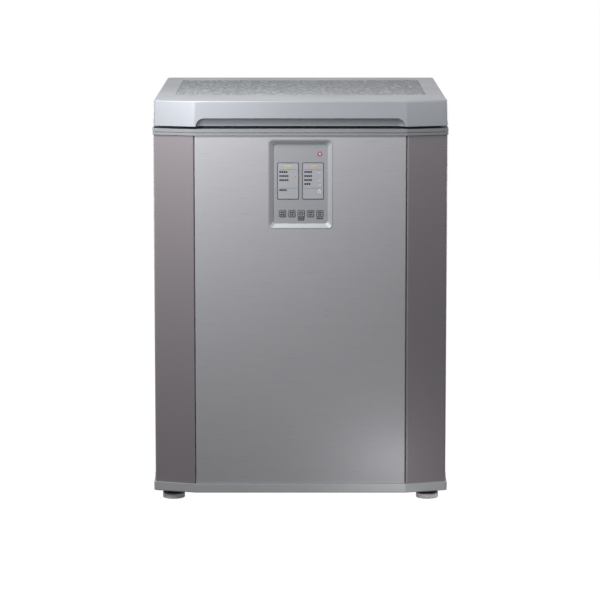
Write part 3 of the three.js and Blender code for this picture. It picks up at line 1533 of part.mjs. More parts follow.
// Formed plastic sheet: a flange that carries the gasket and a plug that dips into the well
function lidLiner() {
  const half = lidInnerHalf - fit - cavityDraft(linerLevel + linerSheet);
  const flange = upright(rectangle(-half, half, cavityFront + fit, cavityRear - fit, cavityCorner),
    linerLevel, linerLevel + linerSheet);
  const bottom = lidBottom - plugDepth;
  const plug = plugForm(0, bottom, linerLevel + linerSheet);
  const hollow = plugForm(linerSheet, bottom + linerSheet, linerLevel + linerSheet + 1);
  return cut(join(flange, plug), hollow);
}

function lidFoam() {
  const bottom = linerLevel + linerSheet + fit;
  const half = lidInnerHalf - fit;
  const slab = (draft, level) => ringAt(
    rectangle(-half + draft, half - draft, cavityFront + fit, cavityRear - fit, cavityCorner), level);
  const upper = loft([slab(cavityDraft(bottom), bottom), slab(lidDraft, roofLevel - fit)]);
  const lower = plugForm(linerSheet + fit, lidBottom - plugDepth + linerSheet + fit, bottom + 1);
  return join(upper, lower);
}

// Bellows gasket with a waist along its outer side
function lidGasket() {
  const half = lidInnerHalf - gasketInset;
  const front = cavityFront + gasketInset;
  const rear = cavityRear - gasketInset;
  const loop = (grow, radius) => rectangle(-half - grow, half + grow, front - grow, rear + grow, radius);
  const bottom = collarTop + fit;
  const top = linerLevel - fit;
  const body = upright(loop(0, gasketCorner), bottom, top, [loop(-gasketWidth, gasketCorner)]);
  const middle = (bottom + top) / 2;
  const waist = upright(loop(1, gasketCorner + 1), middle - gasketWaistHeight / 2,
    middle + gasketWaistHeight / 2, [loop(-gasketWaist, gasketCorner - gasketWaist)]);
  return cut(body, waist);
}

place('lid_frame', lidFrame(), 'silverAbs');
place('lid_top_panel', lidTopPanel(), 'lidPattern');
place('lid_liner', lidLiner(), 'liner');
place('lid_foam', lidFoam(), 'foam');
place('lid_gasket', lidGasket(), 'blackPlastic');

// ---- Sprung hinges: leaf, bracket, pin, spring and cover ----

const bracketEar = leafEar + earSheet + 2 * fit;
const pinEnd = bracketEar + earSheet + fit;
const knuckle = (from, to, radius, sideCount = smallSides) => lieAlongX(rod(radius, from, to, sideCount));
const pinHole = () => knuckle(-bracketWidth, bracketWidth, hingePin + pinFit, smallSides);

// Ears come in pairs, each at the same distance from the hinge's middle
const earPairs = (points, inner) => [inner, -inner - earSheet].flatMap((from) =>
  [alongX(outline(points), from, from + earSheet), knuckle(from, from + earSheet, knuckleRadius)]);
const onKnuckle = (angle) =>
  [knuckleRadius * Math.cos(degrees(angle)), knuckleRadius * Math.sin(degrees(angle))];

// The leaf is screwed to the lid's rear wall, and its ears reach back to the pin
function hingeLeaf() {
  const face = lidRear + fit - hingeY;
  const low = lidBottom + leafRise - hingeZ;
  const high = low + leafHeight;
  const plate = alongY(rectangle(-leafWidth / 2, leafWidth / 2, low, high, leafCorner),
    face, face + leafSheet);
  const arm = [
    [face, low], onKnuckle(leafArmUnder), onKnuckle(leafArmOver), leafArmElbow,
    [face + leafSheet, low + leafHeight / 2], [face, low + leafHeight / 2],
  ];
  return cut(join(plate, earPairs(arm, leafEar)), pinHole());
}

// The bracket is screwed to the back panel, and its ears rise past the collar to the pin
function hingeBracket() {
  const face = caseRear + fit - hingeY;
  const high = panelTop - bracketDrop - hingeZ;
  const low = high - bracketHeight;
  const clear = collarLip + 2 * fit;
  const plate = alongY(rectangle(-bracketWidth / 2, bracketWidth / 2, low, high, leafCorner),
    face, face + leafSheet);
  const arm = [
    [face, low + bracketHeight / 2], [face + leafSheet * 2, low + bracketHeight / 2],
    [knuckleRadius, -knuckleRadius], onKnuckle(bracketArmOver), onKnuckle(90), onKnuckle(180),
    [face + clear, collarTop - hingeZ - lidGap], [face + clear, high], [face, high],
  ].reverse();
  return cut(join(plate, earPairs(arm, bracketEar)), pinHole());
}

function hingePinPiece() {
  return lieAlongX(turned([
    [0, -pinEnd - hingePinHeadSheet], [hingePinHead, -pinEnd - hingePinHeadSheet],
    [hingePinHead, -pinEnd], [hingePin, -pinEnd], [hingePin, pinEnd], [hingePinRivet, pinEnd],
    [hingePinRivet, pinEnd + hingePinHeadSheet], [0, pinEnd + hingePinHeadSheet],
  ], roundSides));
}

// Torsion spring round the pin, one leg down against the bracket and the other short on the lid's side
function hingeSpring() {
  const turns = springTurns + springHalfTurn;
  const count = Math.round(turns * coilSteps);
  const coil = Array.from({ length: count + 1 }, (_, i) => {
    const angle = (2 * Math.PI * i) / coilSteps;
    const x = -springSpan / 2 + (springSpan * i) / count;
    return new THREE.Vector3(x, springRadius * Math.cos(angle), springRadius * Math.sin(angle));
  });
  const first = coil[0].clone().add(new THREE.Vector3(0, 0, -springLeg));
  const last = coil[count].clone().add(new THREE.Vector3(0, 0, -springShortLeg));
  return pipe([first, ...coil, last], springWire, wireSides);
}

// Moulded cover, open in front where the leaf swings up
function hingeCover() {
  const arc = (radius, from, to, count) => Array.from({ length: count + 1 }, (_, i) => {
    const angle = degrees(from + ((to - from) * i) / count);
    return [radius * Math.cos(angle), radius * Math.sin(angle)];
  });
  const face = caseRear + fit - hingeY;
  const shoulderY = face + collarLip + fit;
  const shoulderZ = panelTop - hingeZ - fit;
  const outer = [
    [face, -coverBottom], [coverRadius, -coverBottom + coverSlope],
    ...arc(coverRadius, 0, coverRoof, coverSteps), [shoulderY, shoulderZ + 2 * fit],
    [shoulderY, shoulderZ], [face, shoulderZ],
  ];
  const reach = coverRadius - coverWall;
  const half = coverWidth / 2;
  const shell = alongX(outline(outer), -half, half);
  const inner = [
    [face - 1, -coverBottom + 2 * coverWall], [face + coverWall, -coverBottom + 2 * coverWall],
    [reach, -coverBottom + coverSlope + coverWall], ...arc(reach, 0, coverOpening, cornerSteps),
    ...arc(coverRadius + 1, coverOpening, coverSlotEnd, coverSteps),
    [face - 1, shoulderZ + coverSlotDrop],
  ];
  const hollow = alongX(outline(inner), -half + coverWall, half - coverWall);
  return cut(shell, hollow);
}

sides.forEach(({ side, sign }) => {
  const spot = [sign * hingeX, hingeY, hingeZ];
  place(`hinge_leaf_${side}`, hingeLeaf(), 'zincSheet', spot);
  place(`hinge_bracket_${side}`, hingeBracket(), 'zincSheet', spot);
  place(`hinge_pin_${side}`, hingePinPiece(), 'steel', spot);
  place(`hinge_spring_${side}`, hingeSpring(), 'steel', spot);
  place(`hinge_cover_${side}`, hingeCover(), 'greyPlastic', spot);
});

export default kimchiRefrigerator;
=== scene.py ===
import json
import math

import bmesh
import bpy
from mathutils import Matrix, Vector

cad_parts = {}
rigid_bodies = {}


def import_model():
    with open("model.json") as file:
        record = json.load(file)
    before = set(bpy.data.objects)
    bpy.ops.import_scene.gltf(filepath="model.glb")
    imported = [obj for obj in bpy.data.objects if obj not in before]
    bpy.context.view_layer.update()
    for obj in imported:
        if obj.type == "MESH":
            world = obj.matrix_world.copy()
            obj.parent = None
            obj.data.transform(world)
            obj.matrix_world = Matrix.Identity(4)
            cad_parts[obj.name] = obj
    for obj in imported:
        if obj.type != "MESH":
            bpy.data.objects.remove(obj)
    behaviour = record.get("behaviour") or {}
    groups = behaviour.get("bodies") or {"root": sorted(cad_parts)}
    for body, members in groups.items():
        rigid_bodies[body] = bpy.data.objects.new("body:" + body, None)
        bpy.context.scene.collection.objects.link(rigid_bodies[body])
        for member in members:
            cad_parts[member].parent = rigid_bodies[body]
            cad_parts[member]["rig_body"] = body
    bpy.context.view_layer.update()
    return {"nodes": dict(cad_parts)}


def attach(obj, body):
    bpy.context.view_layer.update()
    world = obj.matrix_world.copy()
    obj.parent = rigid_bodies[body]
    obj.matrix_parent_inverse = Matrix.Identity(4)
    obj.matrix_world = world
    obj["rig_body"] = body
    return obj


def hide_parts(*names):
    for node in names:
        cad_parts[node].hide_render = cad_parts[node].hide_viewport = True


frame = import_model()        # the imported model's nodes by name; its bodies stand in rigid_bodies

mm = 0.001
print("frame loaded:", len(frame["nodes"]), "nodes")

# sizes that several pieces share, in mm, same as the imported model
cabinet = {
    "front": -341.5, "rear": 318.0, "half": 292.0, "facetHalf": 210.0, "setback": 25.0,
    "baseLow": 18.0, "baseTop": 36.0, "panelTop": 736.0, "collarTop": 749.0,
    "lidLow": 754.5, "lidTop": 805.0, "lidRear": 305.0, "foremost": -345.0,
    "creaseBend": 3.0, "shoulderBend": 6.0, "rearBend": 2.0, "fit": 0.3,
}


# small tools

def colour(code):
    # sRGB hex to the linear values that the shader wants
    parts = [int(code[i:i + 2], 16) / 255 for i in (1, 3, 5)]
    return (*[p / 12.92 if p <= 0.04045 else ((p + 0.055) / 1.055) ** 2.4 for p in parts], 1.0)


def perMm(size):
    # texture scale for a feature of this size in mm
    return 1000.0 / size


def addNode(tree, kind, inputs=None, **settings):
    # an input is a plain value or the output socket of another node
    node = tree.nodes.new(kind)
    for name, value in settings.items():
        setattr(node, name, value)
    for name, value in (inputs or {}).items():
        if isinstance(value, bpy.types.NodeSocket):
            tree.links.new(value, node.inputs[name])
        else:
            node.inputs[name].default_value = value
    return node


def planCorners(sideLip, frontLip, rear, rearBend=cabinet["rearBend"]):
    # flat front, two angled corners, straight sides: (x, y, corner radius)
    c = cabinet
    front, half = c["front"] - frontLip, c["half"] + sideLip
    right = [(c["facetHalf"], front, c["creaseBend"]), (half, front + c["setback"], c["shoulderBend"]),
             (half, rear, rearBend)]
    return right + [(-x, y, r) for x, y, r in reversed(right)]


def insetCorners(corners, distance):
    # every edge of the outline moves in by the same distance
    count, edges = len(corners), []
    for i, (x, y, r) in enumerate(corners):
        nx, ny, _ = corners[(i + 1) % count]
        along = Vector((nx - x, ny - y)).normalized()
        inward = Vector((-along.y, along.x))
        edges.append((inward, inward.dot(Vector((x, y))) + distance))
    shifted = []
    for i, (x, y, r) in enumerate(corners):
        (a, ra), (b, rb) = edges[i - 1], edges[i]
        cross = a.x * b.y - a.y * b.x
        shifted.append(((ra * b.y - rb * a.y) / cross, (rb * a.x - ra * b.x) / cross,
                        max(r - distance, 0.3) if r else 0))
    return shifted


def rectCorners(x0, x1, y0, y1, radius=0.0):
    return [(x0, y0, radius), (x1, y0, radius), (x1, y1, radius), (x0, y1, radius)]


def roundUpright(bm, before, corner, after, segments):
    # rolls the upright edge that stands at this corner to its radius
    here, radius = Vector(corner[:2]), corner[2]
    back, onward = (Vector(before[:2]) - here).normalized(), (Vector(after[:2]) - here).normalized()
    reach = radius / math.tan(back.angle(onward) / 2)
    found = [e for e in bm.edges if all((v.co.xy - here * mm).length < 1e-6 for v in e.verts)]
    bmesh.ops.bevel(bm, geom=found, offset=reach * mm, offset_type="OFFSET", affect="EDGES",
                    segments=segments, profile=0.5, material=-1)


def raiseNew(bm, grown, height):
    # lifts what an extrusion has just made
    tops = [v for v in grown["geom"] if isinstance(v, bmesh.types.BMVert)]
    bmesh.ops.translate(bm, verts=tops, vec=(0, 0, height * mm))


def prism(corners, low, high, segments=5):
    bm = bmesh.new()
    face = bm.faces.new([bm.verts.new((x * mm, y * mm, low * mm)) for x, y, _ in corners])
    raiseNew(bm, bmesh.ops.extrude_face_region(bm, geom=[face], use_keep_orig=True), high - low)
    bmesh.ops.recalc_face_normals(bm, faces=bm.faces)
    for i, corner in enumerate(corners):
        if corner[2]:
            roundUpright(bm, corners[i - 1], corner, corners[(i + 1) % len(corners)], segments)
    return bm


def levelVerts(bm, level):
    return [v for v in bm.verts if abs(v.co.z - level * mm) < 1e-6]


def rollEdges(bm, offset, segments=3, least=30, where=None):
    # rolls every edge sharper than the least angle, or only those that pass the test
    sharp = [e for e in bm.edges if len(e.link_faces) == 2 and e.calc_face_angle(0) > math.radians(least)
             and (where is None or where(e))]
    if sharp:
        bmesh.ops.bevel(bm, geom=sharp, offset=offset * mm, offset_type="OFFSET", affect="EDGES",
                        segments=segments, profile=0.5, clamp_overlap=True, material=-1)
    return bm


def atLevel(level):
    return lambda e: all(abs(v.co.z - level * mm) < 1e-6 for v in e.verts)


def turnFront(bm):
    # a prism drawn as x, height now stands upright and faces the viewer; its depth is -y
    bmesh.ops.rotate(bm, verts=bm.verts, cent=(0, 0, 0), matrix=Matrix.Rotation(math.radians(90), 3, "X"))
    return bm


def frontPrism(corners, yFront, yBack, segments=5):
    return turnFront(prism(corners, -yBack, -yFront, segments))


def merged(*parts):
    whole = bmesh.new()
    for part in parts:
        mesh = bpy.data.meshes.new("part")
        part.to_mesh(mesh)
        part.free()
        whole.from_mesh(mesh)
        bpy.data.meshes.remove(mesh)
    return whole


def asObject(bm, name):
    mesh = bpy.data.meshes.new(name)
    bm.to_mesh(mesh)
    bm.free()
    thing = bpy.data.objects.new(name, mesh)
    bpy.context.scene.collection.objects.link(thing)
    return thing


def carve(bm, cutters, operation="DIFFERENCE"):
    # takes every cutter out of the solid, or joins it on
    solid = asObject(bm, "solid")
    tools = [asObject(c, "cutter") for c in cutters]
    for tool in tools:
        cut = solid.modifiers.new("cut", "BOOLEAN")
        cut.object, cut.operation, cut.solver = tool, operation, "EXACT"
    graph = bpy.context.evaluated_depsgraph_get()
    mesh = bpy.data.meshes.new_from_object(solid.evaluated_get(graph))
    for thing in [solid, *tools]:
        bpy.data.objects.remove(thing)
    done = bmesh.new()
    done.from_mesh(mesh)
    bpy.data.meshes.remove(mesh)
    bmesh.ops.remove_doubles(done, verts=done.verts, dist=1e-6)
    bmesh.ops.dissolve_limit(done, angle_limit=math.radians(0.5), verts=done.verts, edges=done.edges)
    return done


def finishPiece(bm, name, finishName, body="cabinet", nodes=(), smooth=35):
    piece = asObject(bm, name)
    piece.data.materials.append(finish[finishName])
    piece.data.shade_smooth()
    piece.data.set_sharp_from_angle(angle=math.radians(smooth))
    # big flats keep their own direction, so the sheen stays even up to the rolled edges
    flats = piece.modifiers.new("flats", "WEIGHTED_NORMAL")
    flats.keep_sharp, flats.weight = True, 100
    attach(piece, body)
    if nodes:
        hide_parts(*nodes)
    return piece


def softened(node, name, finishName, width=0.4, segments=2):
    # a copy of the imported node, its triangles merged to flats and its sharp edges broken
    source = frame["nodes"][node]
    bm = bmesh.new()
    bm.from_mesh(source.data)
    bmesh.ops.remove_doubles(bm, verts=bm.verts, dist=1e-6)
    bmesh.ops.dissolve_limit(bm, angle_limit=math.radians(1), verts=bm.verts, edges=bm.edges)
    rollEdges(bm, width, segments, 28)
    return finishPiece(bm, name, finishName, source["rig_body"], [node])


# finishes

def newSurface(name, look):
    material = bpy.data.materials.new(name)
    material.use_nodes = True
    shader = material.node_tree.nodes["Principled BSDF"]
    shader.inputs["Base Color"].default_value = colour(look["hex"])
    shader.inputs["Metallic"].default_value = look.get("metallic", 0.0)
    shader.inputs["Roughness"].default_value = look["roughness"]
    shader.inputs["IOR"].default_value = look.get("ior", 1.5)
    shader.inputs["Specular IOR Level"].default_value = look.get("specular", 0.5)
    place = addNode(material.node_tree, "ShaderNodeTexCoord").outputs["Object"]
    return material, material.node_tree, shader, place


def pattern(tree, shader, look, gloss, height, tone=None, strength=1.0):
    # fields drive the surface: gloss about its mean, relief in mm, and a mix of two close tones
    if tone is not None:
        mixed = addNode(tree, "ShaderNodeMix", {0: tone, 6: colour(look["hex"]), 7: colour(look["second"])},
                        data_type="RGBA")
        tree.links.new(mixed.outputs[2], shader.inputs["Base Color"])
    middle, spread = look["roughness"], look.get("glossSpread", 0.04)
    rough = addNode(tree, "ShaderNodeMapRange", {"Value": gloss, "From Min": 0.3, "From Max": 0.7,
                    "To Min": middle - spread, "To Max": middle + spread})
    tree.links.new(rough.outputs["Result"], shader.inputs["Roughness"])
    bump = addNode(tree, "ShaderNodeBump", {"Height": height, "Distance": look["depth"] * mm, "Strength": strength})
    tree.links.new(bump.outputs["Normal"], shader.inputs["Normal"])


def mouldedPlastic(name, **look):
    # ABS or polystyrene out of a spark-eroded mould: fine even grain, soft sheen, tone slightly cloudy
    material, tree, shader, place = newSurface(name, look)
    grain = addNode(tree, "ShaderNodeTexNoise", {"Vector": place, "Scale": perMm(look["grain"]), "Detail": 2.0})
    cloud = addNode(tree, "ShaderNodeTexNoise", {"Vector": place, "Scale": perMm(70), "Detail": 3.0})
    pattern(tree, shader, look, cloud.outputs["Fac"], grain.outputs["Fac"], cloud.outputs["Fac"])
    return material


def flakedPlastic(name, **look):
    # silver ABS with aluminium flake in the melt: tiny bright and dull grains under a smooth skin
    material, tree, shader, place = newSurface(name, look)
    flake = addNode(tree, "ShaderNodeTexVoronoi", {"Vector": place, "Scale": perMm(look["flake"])})
    flow = addNode(tree, "ShaderNodeTexNoise", {"Vector": place, "Scale": perMm(120), "Detail": 2.0})
    skin = addNode(tree, "ShaderNodeTexNoise", {"Vector": place, "Scale": perMm(look["peel"]), "Detail": 1.0})
    pattern(tree, shader, look, flow.outputs["Fac"], skin.outputs["Fac"], flake.outputs["Distance"])
    return material


def brushedSheet(name, **look):
    # steel sheet brushed along its width: long hairlines close together, drawn coarser than real ones
    # so that they show, with a few wider and darker strokes among them
    material, tree, shader, place = newSurface(name, look)
    shader.inputs["Anisotropic"].default_value = look["anisotropic"]
    fine = addNode(tree, "ShaderNodeMapping", {"Vector": place,
                   "Scale": (perMm(look["length"]), perMm(look["length"]), perMm(look["spacing"]))})
    hair = addNode(tree, "ShaderNodeTexNoise", {"Vector": fine.outputs["Vector"], "Scale": 1.0, "Detail": 4.0,
                   "Roughness": 0.7})
    wide = addNode(tree, "ShaderNodeMapping", {"Vector": place, "Location": (3.1, 0, 7.7),
                   "Scale": (perMm(look["strokeLength"]), perMm(look["strokeLength"]), perMm(look["strokeWidth"]))})
    stroke = addNode(tree, "ShaderNodeTexNoise", {"Vector": wide.outputs["Vector"], "Scale": 1.0, "Detail": 2.0})
    strokeOnly = addNode(tree, "ShaderNodeMapRange", {"Value": stroke.outputs["Fac"], "From Min": 0.66,
                         "From Max": 0.76})
    tone = addNode(tree, "ShaderNodeMix", {0: hair.outputs["Fac"], 6: colour(look["hex"]),
                   7: colour(look["second"])}, data_type="RGBA")
    marked = addNode(tree, "ShaderNodeMix", {0: strokeOnly.outputs["Result"], 6: tone.outputs[2],
                     7: colour(look["strokeHex"])}, data_type="RGBA")
    tree.links.new(marked.outputs[2], shader.inputs["Base Color"])
    pattern(tree, shader, look, hair.outputs["Fac"], hair.outputs["Fac"], strength=0.5)
    return material


def coatedSheet(name, **look):
    # prepainted steel, metallic paint: very fine flake and the faint orange peel of a baked coat
    material, tree, shader, place = newSurface(name, look)
    flake = addNode(tree, "ShaderNodeTexNoise", {"Vector": place, "Scale": perMm(look["flake"]), "Detail": 2.0})
    peel = addNode(tree, "ShaderNodeTexNoise", {"Vector": place, "Scale": perMm(look["peel"]), "Detail": 1.0})
    pattern(tree, shader, look, peel.outputs["Fac"], peel.outputs["Fac"], flake.outputs["Fac"])
    return material


def galvanisedSheet(name, **look):
    # zinc-dipped steel: interlocked crystals a centimetre across, each its own grey and gloss
    material, tree, shader, place = newSurface(name, look)
    bent = addNode(tree, "ShaderNodeTexNoise", {"Vector": place, "Scale": perMm(9), "Detail": 2.0})
    nudged = addNode(tree, "ShaderNodeMix", {0: 0.004, 6: place, 7: bent.outputs["Color"]}, data_type="RGBA")
    crystal = addNode(tree, "ShaderNodeTexVoronoi", {"Vector": nudged.outputs[2], "Scale": perMm(look["crystal"])})
    split = addNode(tree, "ShaderNodeSeparateColor", {"Color": crystal.outputs["Color"]})
    fine = addNode(tree, "ShaderNodeTexNoise", {"Vector": place, "Scale": perMm(0.8), "Detail": 2.0})
    pattern(tree, shader, look, split.outputs["Green"], fine.outputs["Fac"], split.outputs["Red"])
    return material


def fleckedFilm(name, **look):
    # printed decorative film under clear lacquer: short curled flecks, pale and dark, on a grey ground
    material, tree, shader, place = newSurface(name, look)
    curl = addNode(tree, "ShaderNodeTexNoise", {"Vector": place, "Scale": perMm(look["curl"]), "Detail": 2.0})
    bent = addNode(tree, "ShaderNodeMix", {0: look["bend"], 6: place, 7: curl.outputs["Color"]}, data_type="RGBA")
    pale = addNode(tree, "ShaderNodeTexVoronoi", {"Vector": bent.outputs[2], "Scale": perMm(look["fleck"])},
                   feature="DISTANCE_TO_EDGE")
    paleOnly = addNode(tree, "ShaderNodeMapRange", {"Value": pale.outputs["Distance"], "From Min": 0.05,
                       "From Max": 0.12, "To Min": 1.0, "To Max": 0.0})
    broken = addNode(tree, "ShaderNodeTexNoise", {"Vector": place, "Scale": perMm(look["fleck"] * 0.8),
                     "Detail": 2.0})
    gate = addNode(tree, "ShaderNodeMapRange", {"Value": broken.outputs["Fac"], "From Min": 0.5, "From Max": 0.54})
    paleField = addNode(tree, "ShaderNodeMath", {0: paleOnly.outputs["Result"], 1: gate.outputs["Result"]},
                        operation="MULTIPLY")
    dark = addNode(tree, "ShaderNodeTexNoise", {"Vector": bent.outputs[2], "Scale": perMm(look["fleck"] * 0.7),
                   "Detail": 3.0})
    darkField = addNode(tree, "ShaderNodeMapRange", {"Value": dark.outputs["Fac"], "From Min": 0.55,
                        "From Max": 0.66})
    ground = addNode(tree, "ShaderNodeMix", {0: darkField.outputs["Result"], 6: colour(look["hex"]),
                     7: colour(look["darkHex"])}, data_type="RGBA")
    printed = addNode(tree, "ShaderNodeMix", {0: paleField.outputs["Value"], 6: ground.outputs[2],
                      7: colour(look["paleHex"])}, data_type="RGBA")
    tree.links.new(printed.outputs[2], shader.inputs["Base Color"])
    pattern(tree, shader, look, dark.outputs["Fac"], paleField.outputs["Value"], strength=0.4)
    return material


def stuccoSheet(name, **look):
    # aluminium well sheet rolled with a stucco emboss: soft dimples that hide scratches
    material, tree, shader, place = newSurface(name, look)
    dimple = addNode(tree, "ShaderNodeTexVoronoi", {"Vector": place, "Scale": perMm(look["dimple"])},
                     feature="SMOOTH_F1")
    haze = addNode(tree, "ShaderNodeTexNoise", {"Vector": place, "Scale": perMm(40), "Detail": 3.0})
    pattern(tree, shader, look, haze.outputs["Fac"], dimple.outputs["Distance"], haze.outputs["Fac"])
    return material


def drawnTube(name, **look):
    # drawn copper, aluminium or turned steel: dull patches where it was handled, a faint even tooth
    material, tree, shader, place = newSurface(name, look)
    dull = addNode(tree, "ShaderNodeTexNoise", {"Vector": place, "Scale": perMm(look["patch"]), "Detail": 4.0})
    fine = addNode(tree, "ShaderNodeTexNoise", {"Vector": place, "Scale": perMm(0.6), "Detail": 2.0})
    pattern(tree, shader, look, dull.outputs["Fac"], fine.outputs["Fac"], dull.outputs["Fac"])
    return material


finish = {
    "silverAbs": flakedPlastic("silverFlakeAbs", hex="#979AA0", second="#A5A8AE", metallic=0.32, roughness=0.4,
        specular=0.2, flake=0.9, peel=3.0, depth=0.003),
    "lidFilm": fleckedFilm("fleckedLidFilm", hex="#9EA2A7", darkHex="#70757B", paleHex="#D9DCDF", roughness=0.5,
        specular=0.1, fleck=13.0, curl=10.0, bend=0.01, depth=0.03),
    "frontSteel": brushedSheet("brushedFrontSteel", hex="#A7A7AC", second="#B6B6BA", strokeHex="#99999E",
        metallic=0.12, roughness=0.42, specular=0.15, anisotropic=0.3, length=60.0, spacing=1.2, strokeLength=42.0,
        strokeWidth=1.6, depth=0.006),
    "taupeSheet": coatedSheet("taupePaintedSheet", hex="#878186", second="#8B858A", metallic=0.08, roughness=0.34,
        specular=0.5, flake=0.5, peel=2.5, depth=0.0008),
    "collarAbs": mouldedPlastic("greyCollarAbs", hex="#87898D", second="#8E9195", roughness=0.45, specular=0.45,
        grain=0.5, depth=0.004),
    "baseAbs": mouldedPlastic("greyBaseAbs", hex="#B7B9BC", second="#BFC2C5", roughness=0.36, specular=0.8,
        grain=0.5, depth=0.006),
    "footNylon": mouldedPlastic("paleFootNylon", hex="#F0F1F2", second="#F8FAFB", roughness=0.5, specular=1.0,
        grain=0.5, depth=0.006),
    # painted shade: the foot's neck and the top rim of its pad take this dark colour for the shade that the base
    # casts on them
    "paintedShadeNylon": mouldedPlastic("paintedShadeNeckNylon", hex="#3B3D40", second="#434548", roughness=0.5, grain=0.5,
        depth=0.006),
    "bezelAbs": flakedPlastic("silverBezelAbs", hex="#9FA2A7", second="#ADB0B4", metallic=0.28, specular=0.3,
        roughness=0.52, flake=0.7, peel=2.5, depth=0.003),
    "fasciaFilm": mouldedPlastic("printedFasciaFilm", hex="#98999D", second="#9FA0A5", specular=0.35,
        roughness=0.38, grain=0.3, depth=0.002),
    "windowPane": mouldedPlastic("hazedWindowAcrylic", hex="#A4A6AC", second="#ADAFB5", roughness=0.24, ior=1.49,
        grain=0.4, depth=0.001),
    "borderInk": mouldedPlastic("darkBorderInk", hex="#3E3F44", second="#45464B", roughness=0.4, grain=0.4,
        depth=0.002),
    "keyAbs": mouldedPlastic("keyCapAbs", hex="#87888C", second="#8D8E92", roughness=0.4, grain=0.4, depth=0.002),
    "amberLens": mouldedPlastic("amberLampLens", hex="#D08A45", second="#DA9A55", roughness=0.25, ior=1.49,
        grain=0.3, depth=0.001),
    "redLens": mouldedPlastic("redLampLens", hex="#B5607C", second="#C0708A", roughness=0.22, ior=1.49, grain=0.3,
        depth=0.001),
    "linerPs": mouldedPlastic("paleLinerPolystyrene", hex="#D6D8D9", second="#DEE0E0", roughness=0.4, grain=0.8,
        depth=0.006),
    "gasketPvc": mouldedPlastic("softGasketPvc", hex="#232427", second="#2B2C2F", roughness=0.62, grain=0.6,
        depth=0.01),
    "darkPp": mouldedPlastic("darkPolypropylene", hex="#2A2B2E", second="#333437", roughness=0.5, grain=0.6,
        depth=0.008),
    "greyPp": mouldedPlastic("greyPolypropylene", hex="#7B7E82", second="#83868A", roughness=0.5, grain=0.6,
        depth=0.008),
    "rubber": mouldedPlastic("blackRubber", hex="#1B1B1C", second="#242425", roughness=0.78, grain=0.7, depth=0.02),
    "foam": mouldedPlastic("polyurethaneFoam", hex="#E3D6A6", second="#D9CA95", roughness=0.9, grain=1.2,
        depth=0.2),
    "boardResist": mouldedPlastic("boardSolderResist", hex="#2E6A3C", second="#28603A", roughness=0.35, grain=0.8,
        depth=0.01),
    "enamel": coatedSheet("blackCompressorEnamel", hex="#1A1B1D", second="#212224", roughness=0.3, flake=2.0,
        peel=3.0, depth=0.02),
    "zinc": galvanisedSheet("galvanisedSteelSheet", hex="#979B9E", second="#A4A8AA", metallic=0.7, roughness=0.46,
        glossSpread=0.05, crystal=10.0, depth=0.003),
    "stucco": stuccoSheet("stuccoAluminiumSheet", hex="#B9BCBF", second="#C3C6C8", metallic=0.85, roughness=0.36,
        dimple=3.5, depth=0.08),
    "tubeAlloy": drawnTube("drawnAluminiumTube", hex="#BABDC0", second="#A9ACAF", metallic=1.0, roughness=0.4,
        patch=14.0, depth=0.004),
    "copper": drawnTube("drawnCopperTube", hex="#B87555", second="#98583E", metallic=1.0, roughness=0.34,
        patch=12.0, depth=0.004),
    "steel": drawnTube("turnedSteel", hex="#A3A6A9", second="#94979A", metallic=1.0, roughness=0.32, patch=10.0,
        depth=0.003),
}
# screen-printed inks: thin, matt and almost without grain
inks = {
    "blackInk": ("#1C1D20", "#242528"), "greyInk": ("#6E6F74", "#75767B"), "whiteInk": ("#D8D9DC", "#E0E1E4"),
    "yellowInk": ("#BDB286", "#C4BA92"), "orangeInk": ("#CBAA7C", "#D1B388"),
}
for inkName, (tone, second) in inks.items():
    finish[inkName] = mouldedPlastic(inkName.replace("Ink", "ScreenInk"), hex=tone, second=second, roughness=0.6,
                                     grain=0.2, depth=0.001)
print("finishes made:", len(finish))


# camera, light, floor

camera = {
    "distance": 5.7,       # lens to the lid's front edge, m
    "height": 1.2576, "pitch": 8.465, "lens": 174.0, "sideways": -0.001,
}
eye = bpy.data.objects.new("camera", bpy.data.cameras.new("camera"))
bpy.context.scene.collection.objects.link(eye)
eye.location = (camera["sideways"], cabinet["foremost"] * mm - camera["distance"], camera["height"])
eye.rotation_euler = (math.radians(90 - camera["pitch"]), 0, 0)
eye.data.lens = camera["lens"]
eye.data.sensor_width = 36
eye.data.clip_end = 60
bpy.context.scene.camera = eye
bpy.context.scene.view_settings.view_transform = "Standard"

lamps = {
    # steep, from the upper left: grazes down the front and leaves the finger grip in shade
    "key": {"at": (-0.38, -0.75, 1.35), "aim": (-0.18, -0.34, 0.72), "size": (0.3, 0.3), "watts": 7.3},
    "fill": {"at": (-0.48, -1.0, 0.95), "aim": (-0.2, -0.34, 0.7), "size": (0.3, 0.3), "watts": 4.4},
    "right": {"at": (0.42, -0.64, 1.0), "aim": (0.26, -0.33, 0.79), "size": (0.3, 0.3), "watts": 0.6},
    "low": {"at": (0.24, -0.62, 0.03), "aim": (0.19, -0.34, 0.04), "size": (0.2, 0.05), "watts": 0.26},
    # behind the front's plane: these light the sides and the back only
    "sideLeft": {"at": (-2.0, 0.6, 0.7), "aim": (-0.3, 0, 0.45), "size": (0.9, 0.9), "watts": 20},
    "sideRight": {"at": (2.0, 0.6, 0.7), "aim": (0.3, 0, 0.45), "size": (0.9, 0.9), "watts": 20},
    "back": {"at": (0.6, 2.8, 0.5), "aim": (0, 0.3, 0.4), "size": (2.4, 0.8), "watts": 15},
}
for name, lamp in lamps.items():
    light = bpy.data.lights.new(name, "AREA")
    light.shape, light.size, light.size_y, light.energy = "RECTANGLE", *lamp["size"], lamp["watts"]
    holder = bpy.data.objects.new(name, light)
    holder.location = lamp["at"]
    holder.rotation_euler = (Vector(lamp["aim"]) - Vector(lamp["at"])).to_track_quat("-Z", "Y").to_euler()
    bpy.context.scene.collection.objects.link(holder)


